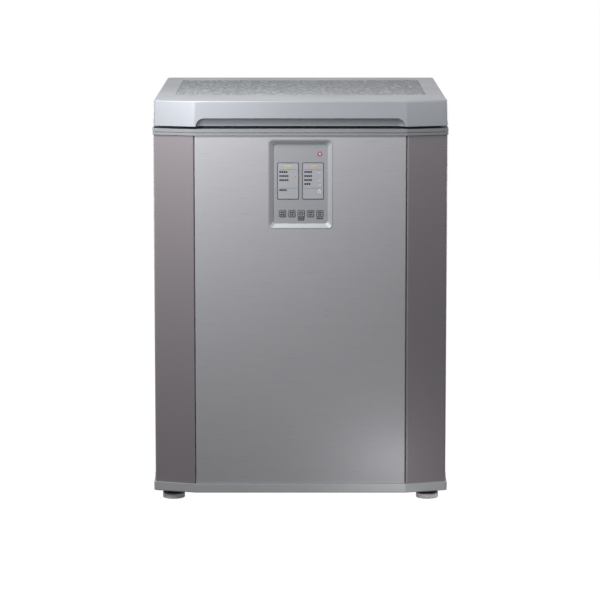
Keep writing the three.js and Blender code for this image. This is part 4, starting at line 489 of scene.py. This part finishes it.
def seenRay(tree):
    # 1 for a ray of the camera, of a reflection or through glass, else 0
    path = addNode(tree, "ShaderNodeLightPath")
    either = addNode(tree, "ShaderNodeMath", {0: path.outputs["Is Camera Ray"], 1: path.outputs["Is Glossy Ray"]},
                     operation="MAXIMUM")
    anyRay = addNode(tree, "ShaderNodeMath", {0: either.outputs["Value"], 1: path.outputs["Is Transmission Ray"]},
                     operation="MAXIMUM")
    return path, anyRay.outputs["Value"]


# the room is white to the eye and in reflections, and dimmer where it only lights the object
room = bpy.data.worlds.new("studio")
bpy.context.scene.world = room
room.use_nodes = True
sky = room.node_tree
level = addNode(sky, "ShaderNodeMapRange", {"Value": seenRay(sky)[1], "To Min": 0.03, "To Max": 1.0})
sky.nodes["Background"].inputs["Color"].default_value = (1, 1, 1, 1)
sky.links.new(level.outputs["Result"], sky.nodes["Background"].inputs["Strength"])

# pale floor: white to the camera, a faint shadow under the object, dimmer in the object's own sheen
floorMat = bpy.data.materials.new("paleStudioFloor")
floorMat.use_nodes = True
floorTree = floorMat.node_tree
ground = floorTree.nodes["Principled BSDF"]
ground.inputs["Base Color"].default_value = colour("#5C5C5C")
ground.inputs["Roughness"].default_value = 0.9
ground.inputs["Specular IOR Level"].default_value = 0.0
floorPath, floorSeen = seenRay(floorTree)
sheen = addNode(floorTree, "ShaderNodeMath", {0: floorPath.outputs["Is Glossy Ray"], 1: 0.48}, operation="MULTIPLY")
glow = addNode(floorTree, "ShaderNodeMath", {0: floorSeen, 1: sheen.outputs["Value"]}, operation="SUBTRACT")
ground.inputs["Emission Color"].default_value = (1, 1, 1, 1)
floorTree.links.new(glow.outputs["Value"], ground.inputs["Emission Strength"])
floorMesh = bmesh.new()
bmesh.ops.create_grid(floorMesh, x_segments=1, y_segments=1, size=30)
floorPiece = asObject(floorMesh, "floor")
floorPiece.data.materials.append(floorMat)
print("camera, lamps and floor set")


# lid

lid = {
    "sideLip": 0.5, "frontLip": 3.5, "draft": 2.0, "edge": 6.0, "wall": 3.0, "roof": 3.5, "beam": 28.0,
    "gripLength": 414.0, "gripRadius": 16.5, "gripDepth": 14.0, "gripEnd": 18.0,
    "insetHalf": 253.0, "insetFront": 158.0, "insetRear": 85.0, "insetCorner": 4.0, "recess": 2.2,
    "sheet": 1.5, "panelEdge": 0.5, "mouldEdge": 0.5, "cavityCorner": 4.0,
}


def makeLidShell():
    c = cabinet
    corners = planCorners(lid["sideLip"], lid["frontLip"], c["lidRear"], c["shoulderBend"])
    bm = prism(corners, c["lidLow"], c["lidTop"], 8)
    tops = levelVerts(bm, c["lidTop"])
    depth, half = c["lidRear"] - c["foremost"], c["half"] + lid["sideLip"]
    bmesh.ops.translate(bm, verts=tops, vec=(0, -c["lidRear"] * mm, 0))
    bmesh.ops.scale(bm, verts=tops, vec=((half - lid["draft"]) / half, (depth - lid["draft"]) / depth, 1))
    bmesh.ops.translate(bm, verts=tops, vec=(0, c["lidRear"] * mm, 0))
    rollEdges(bm, lid["edge"], 8, 30, atLevel(c["lidTop"]))

    cavityHalf = half - lid["wall"]
    cavity = prism(rectCorners(-cavityHalf, cavityHalf, c["foremost"] + lid["beam"], c["lidRear"] - lid["wall"],
                   lid["cavityCorner"]), c["lidLow"] - 1, c["lidTop"] - lid["roof"])
    roofVerts = levelVerts(cavity, c["lidTop"] - lid["roof"])
    bmesh.ops.scale(cavity, verts=roofVerts, vec=((cavityHalf - lid["draft"]) / cavityHalf, 0.994, 1))
    recess = prism(rectCorners(-lid["insetHalf"], lid["insetHalf"], c["foremost"] + lid["insetFront"],
                   c["lidRear"] - lid["insetRear"], lid["insetCorner"]), c["lidTop"] - lid["recess"], c["lidTop"] + 1)

    # finger scoop: a long round-ended cutter, its ends stretched so that they run out softly
    scoop = bmesh.new()
    bmesh.ops.create_uvsphere(scoop, u_segments=48, v_segments=24, radius=lid["gripRadius"] * mm)
    bmesh.ops.rotate(scoop, verts=scoop.verts, cent=(0, 0, 0), matrix=Matrix.Rotation(math.radians(90), 3, "Y"))
    bmesh.ops.scale(scoop, verts=scoop.verts, vec=(lid["gripEnd"] / lid["gripRadius"],
                    lid["gripDepth"] / lid["gripRadius"], 1))
    reach = lid["gripLength"] / 2 - lid["gripEnd"]
    for side in (-1, 1):
        ends = [v for v in scoop.verts if v.co.x * side > 1e-6]
        bmesh.ops.translate(scoop, verts=ends, vec=(side * reach * mm, 0, 0))
    bmesh.ops.translate(scoop, verts=scoop.verts, vec=(0, c["foremost"] * mm, c["lidLow"] * mm))

    bm = carve(bm, [cavity, recess, scoop])
    rollEdges(bm, lid["mouldEdge"], 2, 40)
    return finishPiece(bm, "lidShell", "silverAbs", "lid", ["lid_frame"])


def makeLidPanel():
    c, fit = cabinet, cabinet["fit"]
    low = c["lidTop"] - lid["recess"] + fit
    half = lid["insetHalf"] - fit
    bm = prism(rectCorners(-half, half, c["foremost"] + lid["insetFront"] + fit,
               c["lidRear"] - lid["insetRear"] - fit, lid["insetCorner"] - fit), low, low + lid["sheet"])
    rollEdges(bm, lid["panelEdge"], 3, 30, atLevel(low + lid["sheet"]))
    return finishPiece(bm, "lidPanel", "lidFilm", "lid", ["lid_top_panel"])


makeLidShell()
makeLidPanel()
softened("lid_liner", "lidLiner", "linerPs", 0.4)
softened("lid_gasket", "lidGasket", "gasketPvc", 0.5)
print("lid built")


# collar and cabinet sheets

collar = {
    "sideLip": 1.5, "frontLip": 2.5, "grooveRise": 4.2, "grooveHeight": 2.0, "grooveDepth": 1.6,
    "mouthHalf": 229.8, "mouthFront": -276.8, "mouthRear": 256.8, "mouthCorner": 31.8, "rebate": 2.0,
    "rebateWidth": 8.0, "edge": 0.5,
}


def makeCollar():
    c = cabinet
    low = c["panelTop"] + c["fit"]
    corners = planCorners(collar["sideLip"], collar["frontLip"], c["rear"] + collar["sideLip"])
    bm = prism(corners, low, c["collarTop"], 6)

    def mouth(grow):
        return rectCorners(-collar["mouthHalf"] - grow, collar["mouthHalf"] + grow, collar["mouthFront"] - grow,
                           collar["mouthRear"] + grow, collar["mouthCorner"] + grow)

    well = prism(mouth(0), low - 1, c["collarTop"] + 1, 10)
    rebate = prism(mouth(collar["rebateWidth"]), c["collarTop"] - collar["rebate"], c["collarTop"] + 1, 10)
    grooveLow = low + collar["grooveRise"]
    groove = carve(prism(insetCorners(corners, -1), grooveLow, grooveLow + collar["grooveHeight"], 6),
                   [prism(insetCorners(corners, collar["grooveDepth"]), grooveLow - 1,
                          grooveLow + collar["grooveHeight"] + 1, 6)])
    bm = carve(bm, [well, rebate, groove])
    rollEdges(bm, collar["edge"], 3, 40)
    return finishPiece(bm, "collarRing", "collarAbs", "cabinet", ["collar"])


sheets = {
    "thick": 1.0, "seam": 1.0, "fold": 12.0, "rearFold": 16.0, "panelBend": 2.5, "edge": 0.25,
    "openHalf": 63.6, "openLow": 551.7, "openHigh": 728.9, "openCorner": 8.0,     # where the control recess sits
}


def foldedSheet(path, low, high, segments=6):
    # a strip stood on edge along the path, its corners bent to their radii; its thickness is given afterwards
    bm = bmesh.new()
    verts = [bm.verts.new((x * mm, y * mm, low * mm)) for x, y, _ in path]
    edges = [bm.edges.new(pair) for pair in zip(verts, verts[1:])]
    raiseNew(bm, bmesh.ops.extrude_edge_only(bm, edges=edges), high - low)
    for before, corner, after in zip(path, path[1:], path[2:]):
        roundUpright(bm, before, corner, after, segments)
    return bm


def thicken(bm, thick, outside):
    # the wall grows to the side away from the given point
    bmesh.ops.recalc_face_normals(bm, faces=bm.faces)
    face = max(bm.faces, key=lambda f: f.calc_area())
    toOutside = Vector(outside) * mm - face.calc_center_median()
    if face.normal.dot(toOutside) < 0:
        bmesh.ops.reverse_faces(bm, faces=bm.faces)
    bmesh.ops.solidify(bm, geom=bm.faces, thickness=thick * mm)
    bmesh.ops.recalc_face_normals(bm, faces=bm.faces)
    return bm


def makeSideSheet(side, name):
    c = cabinet
    edge = c["facetHalf"] + sheets["seam"] / 2
    rear = c["rear"] - sheets["thick"] - c["fit"]
    path = [(edge, c["front"] + sheets["fold"], 0), (edge, c["front"], c["creaseBend"]),
            (c["half"], c["front"] + c["setback"], c["shoulderBend"]), (c["half"], rear, c["rearBend"]),
            (c["half"] - sheets["rearFold"], rear, 0)]
    bm = foldedSheet([(x * side, y, r) for x, y, r in path], c["baseTop"] + c["fit"], c["panelTop"])
    thicken(bm, sheets["thick"], (side * 900, 0, 400))
    rollEdges(bm, sheets["edge"], 2, 60)
    return finishPiece(bm, name, "taupeSheet", "cabinet",
                       ["outer_case_left" if side < 0 else "outer_case_right"])


def makeFrontSkin():
    c = cabinet
    edge = c["facetHalf"] - sheets["seam"] / 2
    path = [(-edge, c["front"] + sheets["fold"], 0), (-edge, c["front"], sheets["panelBend"]),
            (edge, c["front"], sheets["panelBend"]), (edge, c["front"] + sheets["fold"], 0)]
    bm = foldedSheet(path, c["baseTop"] + c["fit"], c["panelTop"])
    thicken(bm, sheets["thick"], (0, -900, 400))
    opening = rectCorners(-sheets["openHalf"], sheets["openHalf"], sheets["openLow"], sheets["openHigh"],
                          sheets["openCorner"])
    bm = carve(bm, [frontPrism(opening, c["front"] - 1, c["front"] + 3, 8)])
    rollEdges(bm, sheets["edge"], 2, 60)
    return finishPiece(bm, "frontSkin", "frontSteel", "cabinet", ["front_panel"])


makeCollar()
makeSideSheet(-1, "sideSheetLeft")
makeSideSheet(1, "sideSheetRight")
makeFrontSkin()
print("collar and sheets built")


# base, feet, rollers

base = {
    "lip": 3.0, "frontLip": 3.5, "wall": 5.0, "floor": 3.0, "lowerEdge": 2.5, "upperEdge": 1.3,
    "flareRise": 16.0, "flareTop": 0.7, "flareStart": -302.5, "bossRadius": 12.0, "bossHeight": 28.0,
    "footX": 256.0, "footY": -298.0, "studHole": 5.3,
    "wellX": 250.0, "wellY": 285.0, "wellHalf": 13.5, "wellReach": 20.3,          # room for the rollers
}


def rod(radius, low, high, segments=32):
    bm = bmesh.new()
    bmesh.ops.create_cone(bm, cap_ends=True, segments=segments, radius1=radius * mm, radius2=radius * mm,
                          depth=(high - low) * mm)
    bmesh.ops.translate(bm, verts=bm.verts, vec=(0, 0, (low + high) / 2 * mm))
    return bm


def turned(profile, steps, closed=False):
    # spins a chain of (radius, height) points about the upright axis
    bm = bmesh.new()
    chain = [bm.verts.new((r * mm, 0, h * mm)) for r, h in profile]
    line = [bm.edges.new(pair) for pair in zip(chain, chain[1:] + (chain[:1] if closed else []))]
    bmesh.ops.spin(bm, geom=chain + line, cent=(0, 0, 0), axis=(0, 0, 1), angle=math.tau, steps=steps, use_merge=True)
    bmesh.ops.remove_doubles(bm, verts=bm.verts, dist=1e-6)
    bmesh.ops.recalc_face_normals(bm, faces=bm.faces)
    return bm


def moved(bm, x, y, z=0.0):
    bmesh.ops.translate(bm, verts=bm.verts, vec=(x * mm, y * mm, z * mm))
    return bm


def makeBase():
    c, b = cabinet, base
    corners = planCorners(b["lip"], b["frontLip"], c["rear"] + b["lip"])
    bm = prism(corners, c["baseLow"], c["baseTop"], 6)
    rollEdges(bm, b["lowerEdge"], 5, 30, atLevel(c["baseLow"]))
    hollow = prism(insetCorners(corners, b["wall"]), c["baseLow"] + b["floor"], c["baseTop"] + 1, 6)
    bm = carve(bm, [hollow])
    rollEdges(bm, b["upperEdge"], 3, 40, atLevel(c["baseTop"]))
    # hollow flare that climbs the side sheets, drawn in x and z and run along the side
    rise, top = b["flareRise"], c["baseTop"]
    root, outer = c["half"] + c["fit"], c["half"] + b["lip"]
    profile = [(root, top - 0.6), (outer - 0.6, top - 0.6), (outer - 0.8, top + 0.6), (root + 1.5, top + rise * 0.22),
               (root + 0.95, top + rise * 0.5), (root + b["flareTop"], top + rise), (root, top + rise)]
    adds = []
    for side in (-1, 1):
        adds.append(frontPrism([(x * side, z, 0) for x, z in profile][::side], b["flareStart"], c["rear"]))
        adds.append(moved(rod(b["bossRadius"], c["baseLow"] + 0.5, c["baseLow"] + b["bossHeight"]),
                          side * b["footX"], b["footY"]))
    bm = carve(bm, adds, "UNION")
    cuts = []
    for side in (-1, 1):
        cuts.append(moved(rod(b["studHole"], c["baseLow"] - 1, c["baseLow"] + b["bossHeight"] + 1),
                          side * b["footX"], b["footY"]))
        cuts.append(prism(rectCorners(side * b["wellX"] - b["wellHalf"], side * b["wellX"] + b["wellHalf"],
                    b["wellY"] - b["wellReach"], b["wellY"] + b["wellReach"]), 0, c["baseTop"]))
    bm = carve(bm, cuts)
    return finishPiece(bm, "baseTray", "baseAbs", "cabinet", ["base_frame"])


foot = {
    "padRadius": 22.3, "padHeight": 9.4, "edge": 1.5, "knurls": 36, "knurlDepth": 0.8, "flangeInset": 0.4,
    "flangeTop": 12.0, "flangeEdge": 0.7, "neckRadius": 12.5, "neckTop": 17.7, "neckEdge": 0.6, "studRadius": 5.0,
    "studTop": 44.0, "threadPitch": 1.25, "threadDepth": 0.5, "studPoint": 0.8, "overlap": 0.5,
}


def makeFoot(side, name):
    f = foot
    pad = bmesh.new()
    bmesh.ops.create_circle(pad, cap_ends=True, segments=f["knurls"] * 4, radius=f["padRadius"] * mm)
    pad.verts.ensure_lookup_table()
    rim = sorted(pad.verts, key=lambda v: math.atan2(v.co.y, v.co.x))
    hollows = [v for i, v in enumerate(rim) if i % 4 == 0]
    bmesh.ops.scale(pad, verts=hollows, vec=((1 - f["knurlDepth"] / f["padRadius"]),) * 2 + (1,))
    raiseNew(pad, bmesh.ops.extrude_face_region(pad, geom=pad.faces[:], use_keep_orig=True), f["padHeight"])
    bmesh.ops.recalc_face_normals(pad, faces=pad.faces)
    for level in (0, f["padHeight"]):
        rollEdges(pad, f["edge"], 3, 50, atLevel(level))
    x = side * base["footX"]
    node = "levelling_foot_left" if side < 0 else "levelling_foot_right"
    body = "foot_left" if side < 0 else "foot_right"
    finishPiece(moved(pad, x, base["footY"]), name + "Pad", "footNylon", body, [node], 40)
    # painted shade: the neck and the pad's top rim (the flange) are coloured dark for the shade under the base
    neck = rod(f["neckRadius"], f["flangeTop"] - 0.2, f["neckTop"], 40)
    rollEdges(neck, f["neckEdge"], 2, 50)
    flange = rod(f["padRadius"] - f["flangeInset"], f["padHeight"] - 0.1, f["flangeTop"], 96)
    rollEdges(flange, f["flangeEdge"], 3, 50, atLevel(f["flangeTop"]))
    finishPiece(moved(merged(neck, flange), x, base["footY"]), name + "Neck", "paintedShadeNylon", body,
                [node])
    # the thread is a stack of turned ridges; the screw's lead is too fine to tell from rings
    z, low, high = f["neckTop"] - f["overlap"], f["studRadius"] - f["threadDepth"], f["studRadius"]
    points = [(0, z)]
    while z < f["studTop"] - f["threadPitch"]:
        points += [(low, z), (high, z + f["threadPitch"] / 2)]
        z += f["threadPitch"]
    points += [(low, z), (low - f["studPoint"], f["studTop"]), (0, f["studTop"])]
    stud = turned(points, 24)
    finishPiece(moved(stud, x, base["footY"]), name + "Stud", "steel", body, [node], 25)


makeBase()
makeFoot(-1, "footLeft")
makeFoot(1, "footRight")
for sideName in ("left", "right"):
    softened("roller_" + sideName, "roller" + sideName.title(), "rubber", 0.5, 3)
    softened("roller_bracket_" + sideName, "rollerBracket" + sideName.title(), "zinc", 0.3)
print("base, feet and rollers built")


# control recess

control = {
    "middle": 640.3, "bezelWidth": 126.6, "bezelHeight": 176.6, "corner": 7.7, "proud": 0.5, "body": 9.0,
    "rim": 1.0, "slope": 5.5, "bezelEdge": 0.3,
    "fasciaWidth": 108.0, "fasciaHeight": 158.4, "fasciaFace": -334.9, "fasciaSheet": 2.2, "fasciaCorner": 5.8,
    "fasciaTuck": 2.0, "gap": 0.3, "depth": 3.0, "ink": 0.12,
    "windowX": 24.7, "windowMiddle": 645.9, "windowWidth": 43.0, "windowHeight": 73.6, "windowCorner": 2.7,
    "windowProud": 0.4, "windowEdge": 0.25, "borderInset": 0.3, "borderLine": 1.2,
    "lensX": 38.3, "lensZ": 699.7, "lensRadius": 4.5, "lensHole": 1.6, "guideRadius": 1.55, "guideProud": 0.35,
    "keyX": [-35.7, -17.2, 1.3, 19.8, 38.3], "keyZ": 581.1, "keySize": 14.0, "keyCorner": 2.5, "keyProud": 0.8,
    "keyEdge": 0.5,
}


def framed(x, z, width, height, radius, yFront, yBack, segments=6):
    corners = rectCorners(x - width / 2, x + width / 2, z - height / 2, z + height / 2, radius)
    return frontPrism(corners, yFront, yBack, segments)


def inked(x, z, width, height, radius, yFace, segments=2):
    # a printed mark: as thick as its ink, on the face at this depth
    return framed(x, z, width, height, radius, yFace - control["ink"], yFace, segments)


def makeBezel():
    k, c = control, cabinet
    front = c["front"] - k["proud"]
    innerWidth, innerHeight = k["bezelWidth"] - 2 * k["rim"], k["bezelHeight"] - 2 * k["rim"]
    bm = framed(0, k["middle"], k["bezelWidth"], k["bezelHeight"], k["corner"], front, c["front"] + k["body"], 8)
    # the four walls slope from just inside the rim down to the fascia
    slope = framed(0, k["middle"], innerWidth, innerHeight, k["corner"] - 0.7, front - 0.3,
                   c["front"] + k["slope"], 8)
    deep = [v for v in slope.verts if v.co.y > (c["front"] + 1) * mm]
    bmesh.ops.translate(slope, verts=deep, vec=(0, 0, -k["middle"] * mm))
    bmesh.ops.scale(slope, verts=deep, vec=(k["fasciaWidth"] / innerWidth, 1, k["fasciaHeight"] / innerHeight))
    bmesh.ops.translate(slope, verts=deep, vec=(0, 0, k["middle"] * mm))
    through = framed(0, k["middle"], k["fasciaWidth"] - 0.05, k["fasciaHeight"] - 0.05, k["fasciaCorner"],
                     c["front"] + k["slope"] - 0.2, c["front"] + k["body"] + 1, 8)
    bm = carve(bm, [slope, through])
    rollEdges(bm, k["bezelEdge"], 2, 25, lambda e: all(v.co.y < (c["front"] + 6) * mm for v in e.verts))
    return finishPiece(bm, "controlBezel", "bezelAbs", "cabinet", ["control_bezel"], 30)


def makeFascia():
    k = control
    face, back, grow = k["fasciaFace"], k["fasciaFace"] + k["fasciaSheet"], 2 * k["gap"]
    bm = framed(0, k["middle"], k["fasciaWidth"] + 2 * k["fasciaTuck"], k["fasciaHeight"] + 2 * k["fasciaTuck"], 3,
                face, back)
    holes = [framed(s * k["windowX"], k["windowMiddle"], k["windowWidth"] + grow, k["windowHeight"] + grow,
             k["windowCorner"] + k["gap"], face - 1, back + 1) for s in (-1, 1)]
    holes += [framed(x, k["keyZ"], k["keySize"] + grow, k["keySize"] + grow, k["keyCorner"], face - 1, back + 1)
              for x in k["keyX"]]
    bore = turnFront(rod(k["lensRadius"] + k["gap"], -back - 1, -face + 1, 32))
    holes.append(moved(bore, k["lensX"], 0, k["lensZ"]))
    bm = carve(bm, holes)
    rollEdges(bm, 0.15, 2, 60)
    return finishPiece(bm, "controlFascia", "fasciaFilm", "cabinet", ["control_fascia"])


def makeWindow(side, name):
    k = control
    x, y, width, height = side * k["windowX"], k["fasciaFace"] - k["windowProud"], k["windowWidth"], k["windowHeight"]
    pane = framed(x, k["windowMiddle"], width, height, k["windowCorner"], y, k["fasciaFace"] + k["depth"])
    rollEdges(pane, k["windowEdge"], 2, 60)
    node = "display_window_left" if side < 0 else "display_window_right"
    finishPiece(pane, name, "windowPane", "cabinet", [node])
    # printed border line along the pane's edge
    outer, inner = k["borderInset"], k["borderInset"] + k["borderLine"]
    border = inked(x, k["windowMiddle"], width - 2 * outer, height - 2 * outer, k["windowCorner"] - outer, y, 6)
    hollow = framed(x, k["windowMiddle"], width - 2 * inner, height - 2 * inner, k["windowCorner"] - inner,
                    y - 1, y + 1)
    finishPiece(carve(border, [hollow]), name + "Border", "borderInk")


def dashRow(x, z, length, count, height, gap, y):
    # a line of legend as plain dashes that together fill its length, drawn from its left end
    width = (length + gap) / count - gap
    return [inked(x + width / 2 + i * (width + gap), z, width, height, 0.4, y) for i in range(count)]


# places run from a window's left edge and its middle height; a row is its rise, length and dashes
legend = {
    "left": [(17.9, 16, 4), (9.9, 18, 5), (1.8, 18, 5), (-18.1, 14.5, 4)],
    "right": [(17.9, 15, 4), (9.9, 15, 4), (2.0, 15, 4), (-5.9, 12, 3)],
    "indent": 4.3, "height": 3.8, "gap": 0.7, "ruleRises": (22.4, -14.2), "rule": (36, 0.7),
    "headerRise": 29.5, "headerHeight": 3.4, "headerLeft": (21.5, 17), "headerRight": (23.5, 12),
    "lampX": 35.4, "lampRise": 9, "lampRadius": 1.7, "lampProud": 0.3, "markX": 34,
    "boxRise": -21.5, "box": (6.0, 5.2, 0.8), "boxHollow": (3.8, 3.0, 0.4), "handleRise": -17.6,
    "handle": (4.4, 1.2, 0.4), "levelRises": (16.4, 1.0, -8.0), "level": (6.0, 0.9, 0.3),
}


def makeLegends():
    k, g = control, legend
    y, middle = k["fasciaFace"] - k["windowProud"], k["windowMiddle"]
    left, right = -k["windowX"] - k["windowWidth"] / 2, k["windowX"] - k["windowWidth"] / 2
    ink, rules = [], []
    for start, rows in ((left, g["left"]), (right, g["right"])):
        for rise, length, count in rows:
            ink += dashRow(start + g["indent"], middle + rise, length, count, g["height"], g["gap"], y)
        rules += [inked(start + k["windowWidth"] / 2, middle + rise, *g["rule"], 0, y) for rise in g["ruleRises"]]
    finishPiece(merged(*ink), "windowLegends", "blackInk")
    finishPiece(merged(*rules), "windowRules", "greyInk")
    for name, start, inkName in (("headerLeft", left, "yellowInk"), ("headerRight", right, "orangeInk")):
        x, length = g[name]
        finishPiece(inked(start + x, middle + g["headerRise"], length, g["headerHeight"], 1, y, 6), name, inkName)
    lamp = turnFront(rod(g["lampRadius"], -y, -y + g["lampProud"], 24))
    rollEdges(lamp, 0.15, 2, 50)
    finishPiece(moved(lamp, left + g["lampX"], 0, middle + g["lampRise"]), "amberLamp", "amberLens")
    # small container pictogram: a box outline with a handle bar over it
    x = right + g["markX"]
    box = carve(inked(x, middle + g["boxRise"], *g["box"], y, 3),
                [framed(x, middle + g["boxRise"], *g["boxHollow"], y - 1, y + 1, 3)])
    handle = inked(x, middle + g["handleRise"], *g["handle"], y, 3)
    # unlit level marks beside the rows
    levels = [inked(x, middle + rise, *g["level"], y) for rise in g["levelRises"]]
    finishPiece(merged(box, handle, *levels), "containerMark", "whiteInk")


def makeLens():
    k = control
    y, inner, outer = k["fasciaFace"], k["lensHole"], k["lensRadius"]
    # the ring's section: back edges, outer rim, rounded front, inner rim
    section = [(inner, -k["depth"]), (outer, -k["depth"]), (outer, 0.3), (outer - 0.2, 0.5), (outer - 0.6, 0.6),
               (inner + 0.5, 0.6), (inner + 0.15, 0.45), (inner, 0.2)]
    ring = turnFront(turned([(r, h - y) for r, h in section], 40, closed=True))
    # pale light guide in the ring's middle
    guide = turnFront(rod(k["guideRadius"], -y - k["depth"], -y + k["guideProud"], 24))
    for bm, name, finishName in ((ring, "indicatorRing", "redLens"), (guide, "indicatorGuide", "whiteInk")):
        finishPiece(moved(bm, k["lensX"], 0, k["lensZ"]), name, finishName, "cabinet",
                    ["indicator_lens"])


# a row is its rise, length and dashes; below the keys, the key's place in the row of keys comes first
keyArt = {
    "border": (13.0, 13.0, 2.2), "borderHollow": (11.5, 11.5, 1.5), "upper": (2.4, 7.6, 2),
    "lower": [(-2.4, 8.2, 2), (-2.4, 6.6, 2), None, (-2.4, 7.2, 3), (-2.4, 5.4, 2)], "height": 3.0, "gap": 0.8,
    "dial": 3.9, "dialHollow": 2.6, "handRise": 1.0, "hand": (1.1, 2.6, 0.2),
    "under": [(2, -9.4, 13, 3), (2, -12.8, 12, 3), (4, -10.0, 13, 3)], "underHeight": 2.6, "underGap": 0.7,
}


def keyMark(index, x, y):
    # plain marks on each key: pairs of short dashes, the middle key a round dial with a hand
    a, z = keyArt, control["keyZ"]
    if a["lower"][index] is None:
        dial = moved(turnFront(rod(a["dial"], -y, -y + control["ink"], 28)), x, 0, z)
        dial = carve(dial, [moved(turnFront(rod(a["dialHollow"], -y - 1, -y + 1, 28)), x, 0, z)])
        return [dial, inked(x, z + a["handRise"], *a["hand"], y)]
    marks = []
    for rise, length, count in (a["upper"], a["lower"][index]):
        marks += dashRow(x - length / 2, z + rise, length, count, a["height"], a["gap"], y)
    return marks


def makeKeys():
    k, a = control, keyArt
    y = k["fasciaFace"] - k["keyProud"]
    for i, x in enumerate(k["keyX"]):
        cap = framed(x, k["keyZ"], k["keySize"], k["keySize"], k["keyCorner"], y, k["fasciaFace"] + k["depth"])
        rollEdges(cap, k["keyEdge"], 3, 60)
        body = f"key_body_{i + 1}"
        finishPiece(cap, f"keyCap{i + 1}", "keyAbs", body, [f"key_{i + 1}"])
        # printed border line just inside the cap's edge
        border = carve(inked(x, k["keyZ"], *a["border"], y, 6),
                       [framed(x, k["keyZ"], *a["borderHollow"], y - 1, y + 1)])
        finishPiece(merged(border, *keyMark(i, x, y)), f"keyMark{i + 1}", "blackInk", body)
    # short lines of legend under two of the keys, on the fascia itself
    under = []
    for i, rise, length, count in a["under"]:
        under += dashRow(k["keyX"][i] - length / 2, k["keyZ"] + rise, length, count, a["underHeight"], a["underGap"],
                         k["fasciaFace"])
    finishPiece(merged(*under), "keyLegends", "blackInk")


makeBezel()
makeFascia()
makeWindow(-1, "windowLeft")
makeWindow(1, "windowRight")
makeLegends()
makeLens()
makeKeys()
print("control recess built")


# well, back and machinery

softened("inner_tub", "innerTub", "stucco", 0.3)
softened("back_panel", "backPanel", "zinc", 0.25)
softened("rear_cover", "rearCover", "zinc", 0.2)
softened("cord_gland", "cordGland", "rubber", 0.5)
hingeParts = {
    "leaf": ("zinc", "zinc_sheet", 0.3), "bracket": ("zinc", "zinc_sheet", 0.3),
    "pin": ("steel", "bright_steel", 0.3), "cover": ("greyPp", "grey_plastic", 0.5),
}
for sideName in ("left", "right"):
    for partName, (finishName, slotName, width) in hingeParts.items():
        softened(f"hinge_{partName}_{sideName}", "hinge" + partName.title() + sideName.title(), finishName,
                 width)

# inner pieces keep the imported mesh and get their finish
bare = {
    "foam": ["foam_body", "lid_foam"],
    "tubeAlloy": ["evaporator_coil", "condenser_coil"],
    "boardResist": ["control_board", "main_board"],
    "darkPp": ["control_housing", "relay_cover", "fan_rotor"],
    "zinc": ["compressor_plate", "fan_motor"],
    "enamel": ["compressor"],
    "rubber": [f"compressor_grommet_{i}" for i in range(1, 5)],
    "greyPp": ["fan_shroud", "main_board_box"],
    "copper": ["filter_dryer", "discharge_tube", "suction_tube"],
    "steel": ["hinge_spring_left", "hinge_spring_right"],
}
for finishName, nodeNames in bare.items():
    for nodeName in nodeNames:
        for place in frame["nodes"][nodeName].material_slots:
            place.material = finish[finishName]

screw = {
    "head": 4.0, "rise": 2.2, "edge": 1.2, "slot": 0.9, "slotLength": 4.6, "slotDepth": 1.1,
    "coverX": (-280, 0, 280), "coverZ": (44, 210), "panelX": (-280, 280), "panelZ": (260, 470, 700),
}


def makeScrew(x, z, yFace):
    # pan head with a cross recess, its axis along y, seated on a sheet that faces the back
    bm = rod(screw["head"], 0, screw["rise"], 24)
    rollEdges(bm, screw["edge"], 3, 50, atLevel(screw["rise"]))
    bars = [prism(rectCorners(-a / 2, a / 2, -b / 2, b / 2), screw["rise"] - screw["slotDepth"], screw["rise"] + 1)
            for a, b in ((screw["slotLength"], screw["slot"]), (screw["slot"], screw["slotLength"]))]
    bm = carve(bm, bars)
    bmesh.ops.rotate(bm, verts=bm.verts, cent=(0, 0, 0), matrix=Matrix.Rotation(math.radians(-90), 3, "X"))
    return moved(bm, x, yFace, z)


spots = [(x, z) for x in screw["coverX"] for z in screw["coverZ"]]
spots += [(x, z) for x in screw["panelX"] for z in screw["panelZ"]]
screws = [makeScrew(x, z, cabinet["rear"]) for x, z in spots]
finishPiece(merged(*screws), "rearScrews", "steel", "cabinet")
print("well, back and machinery dressed")
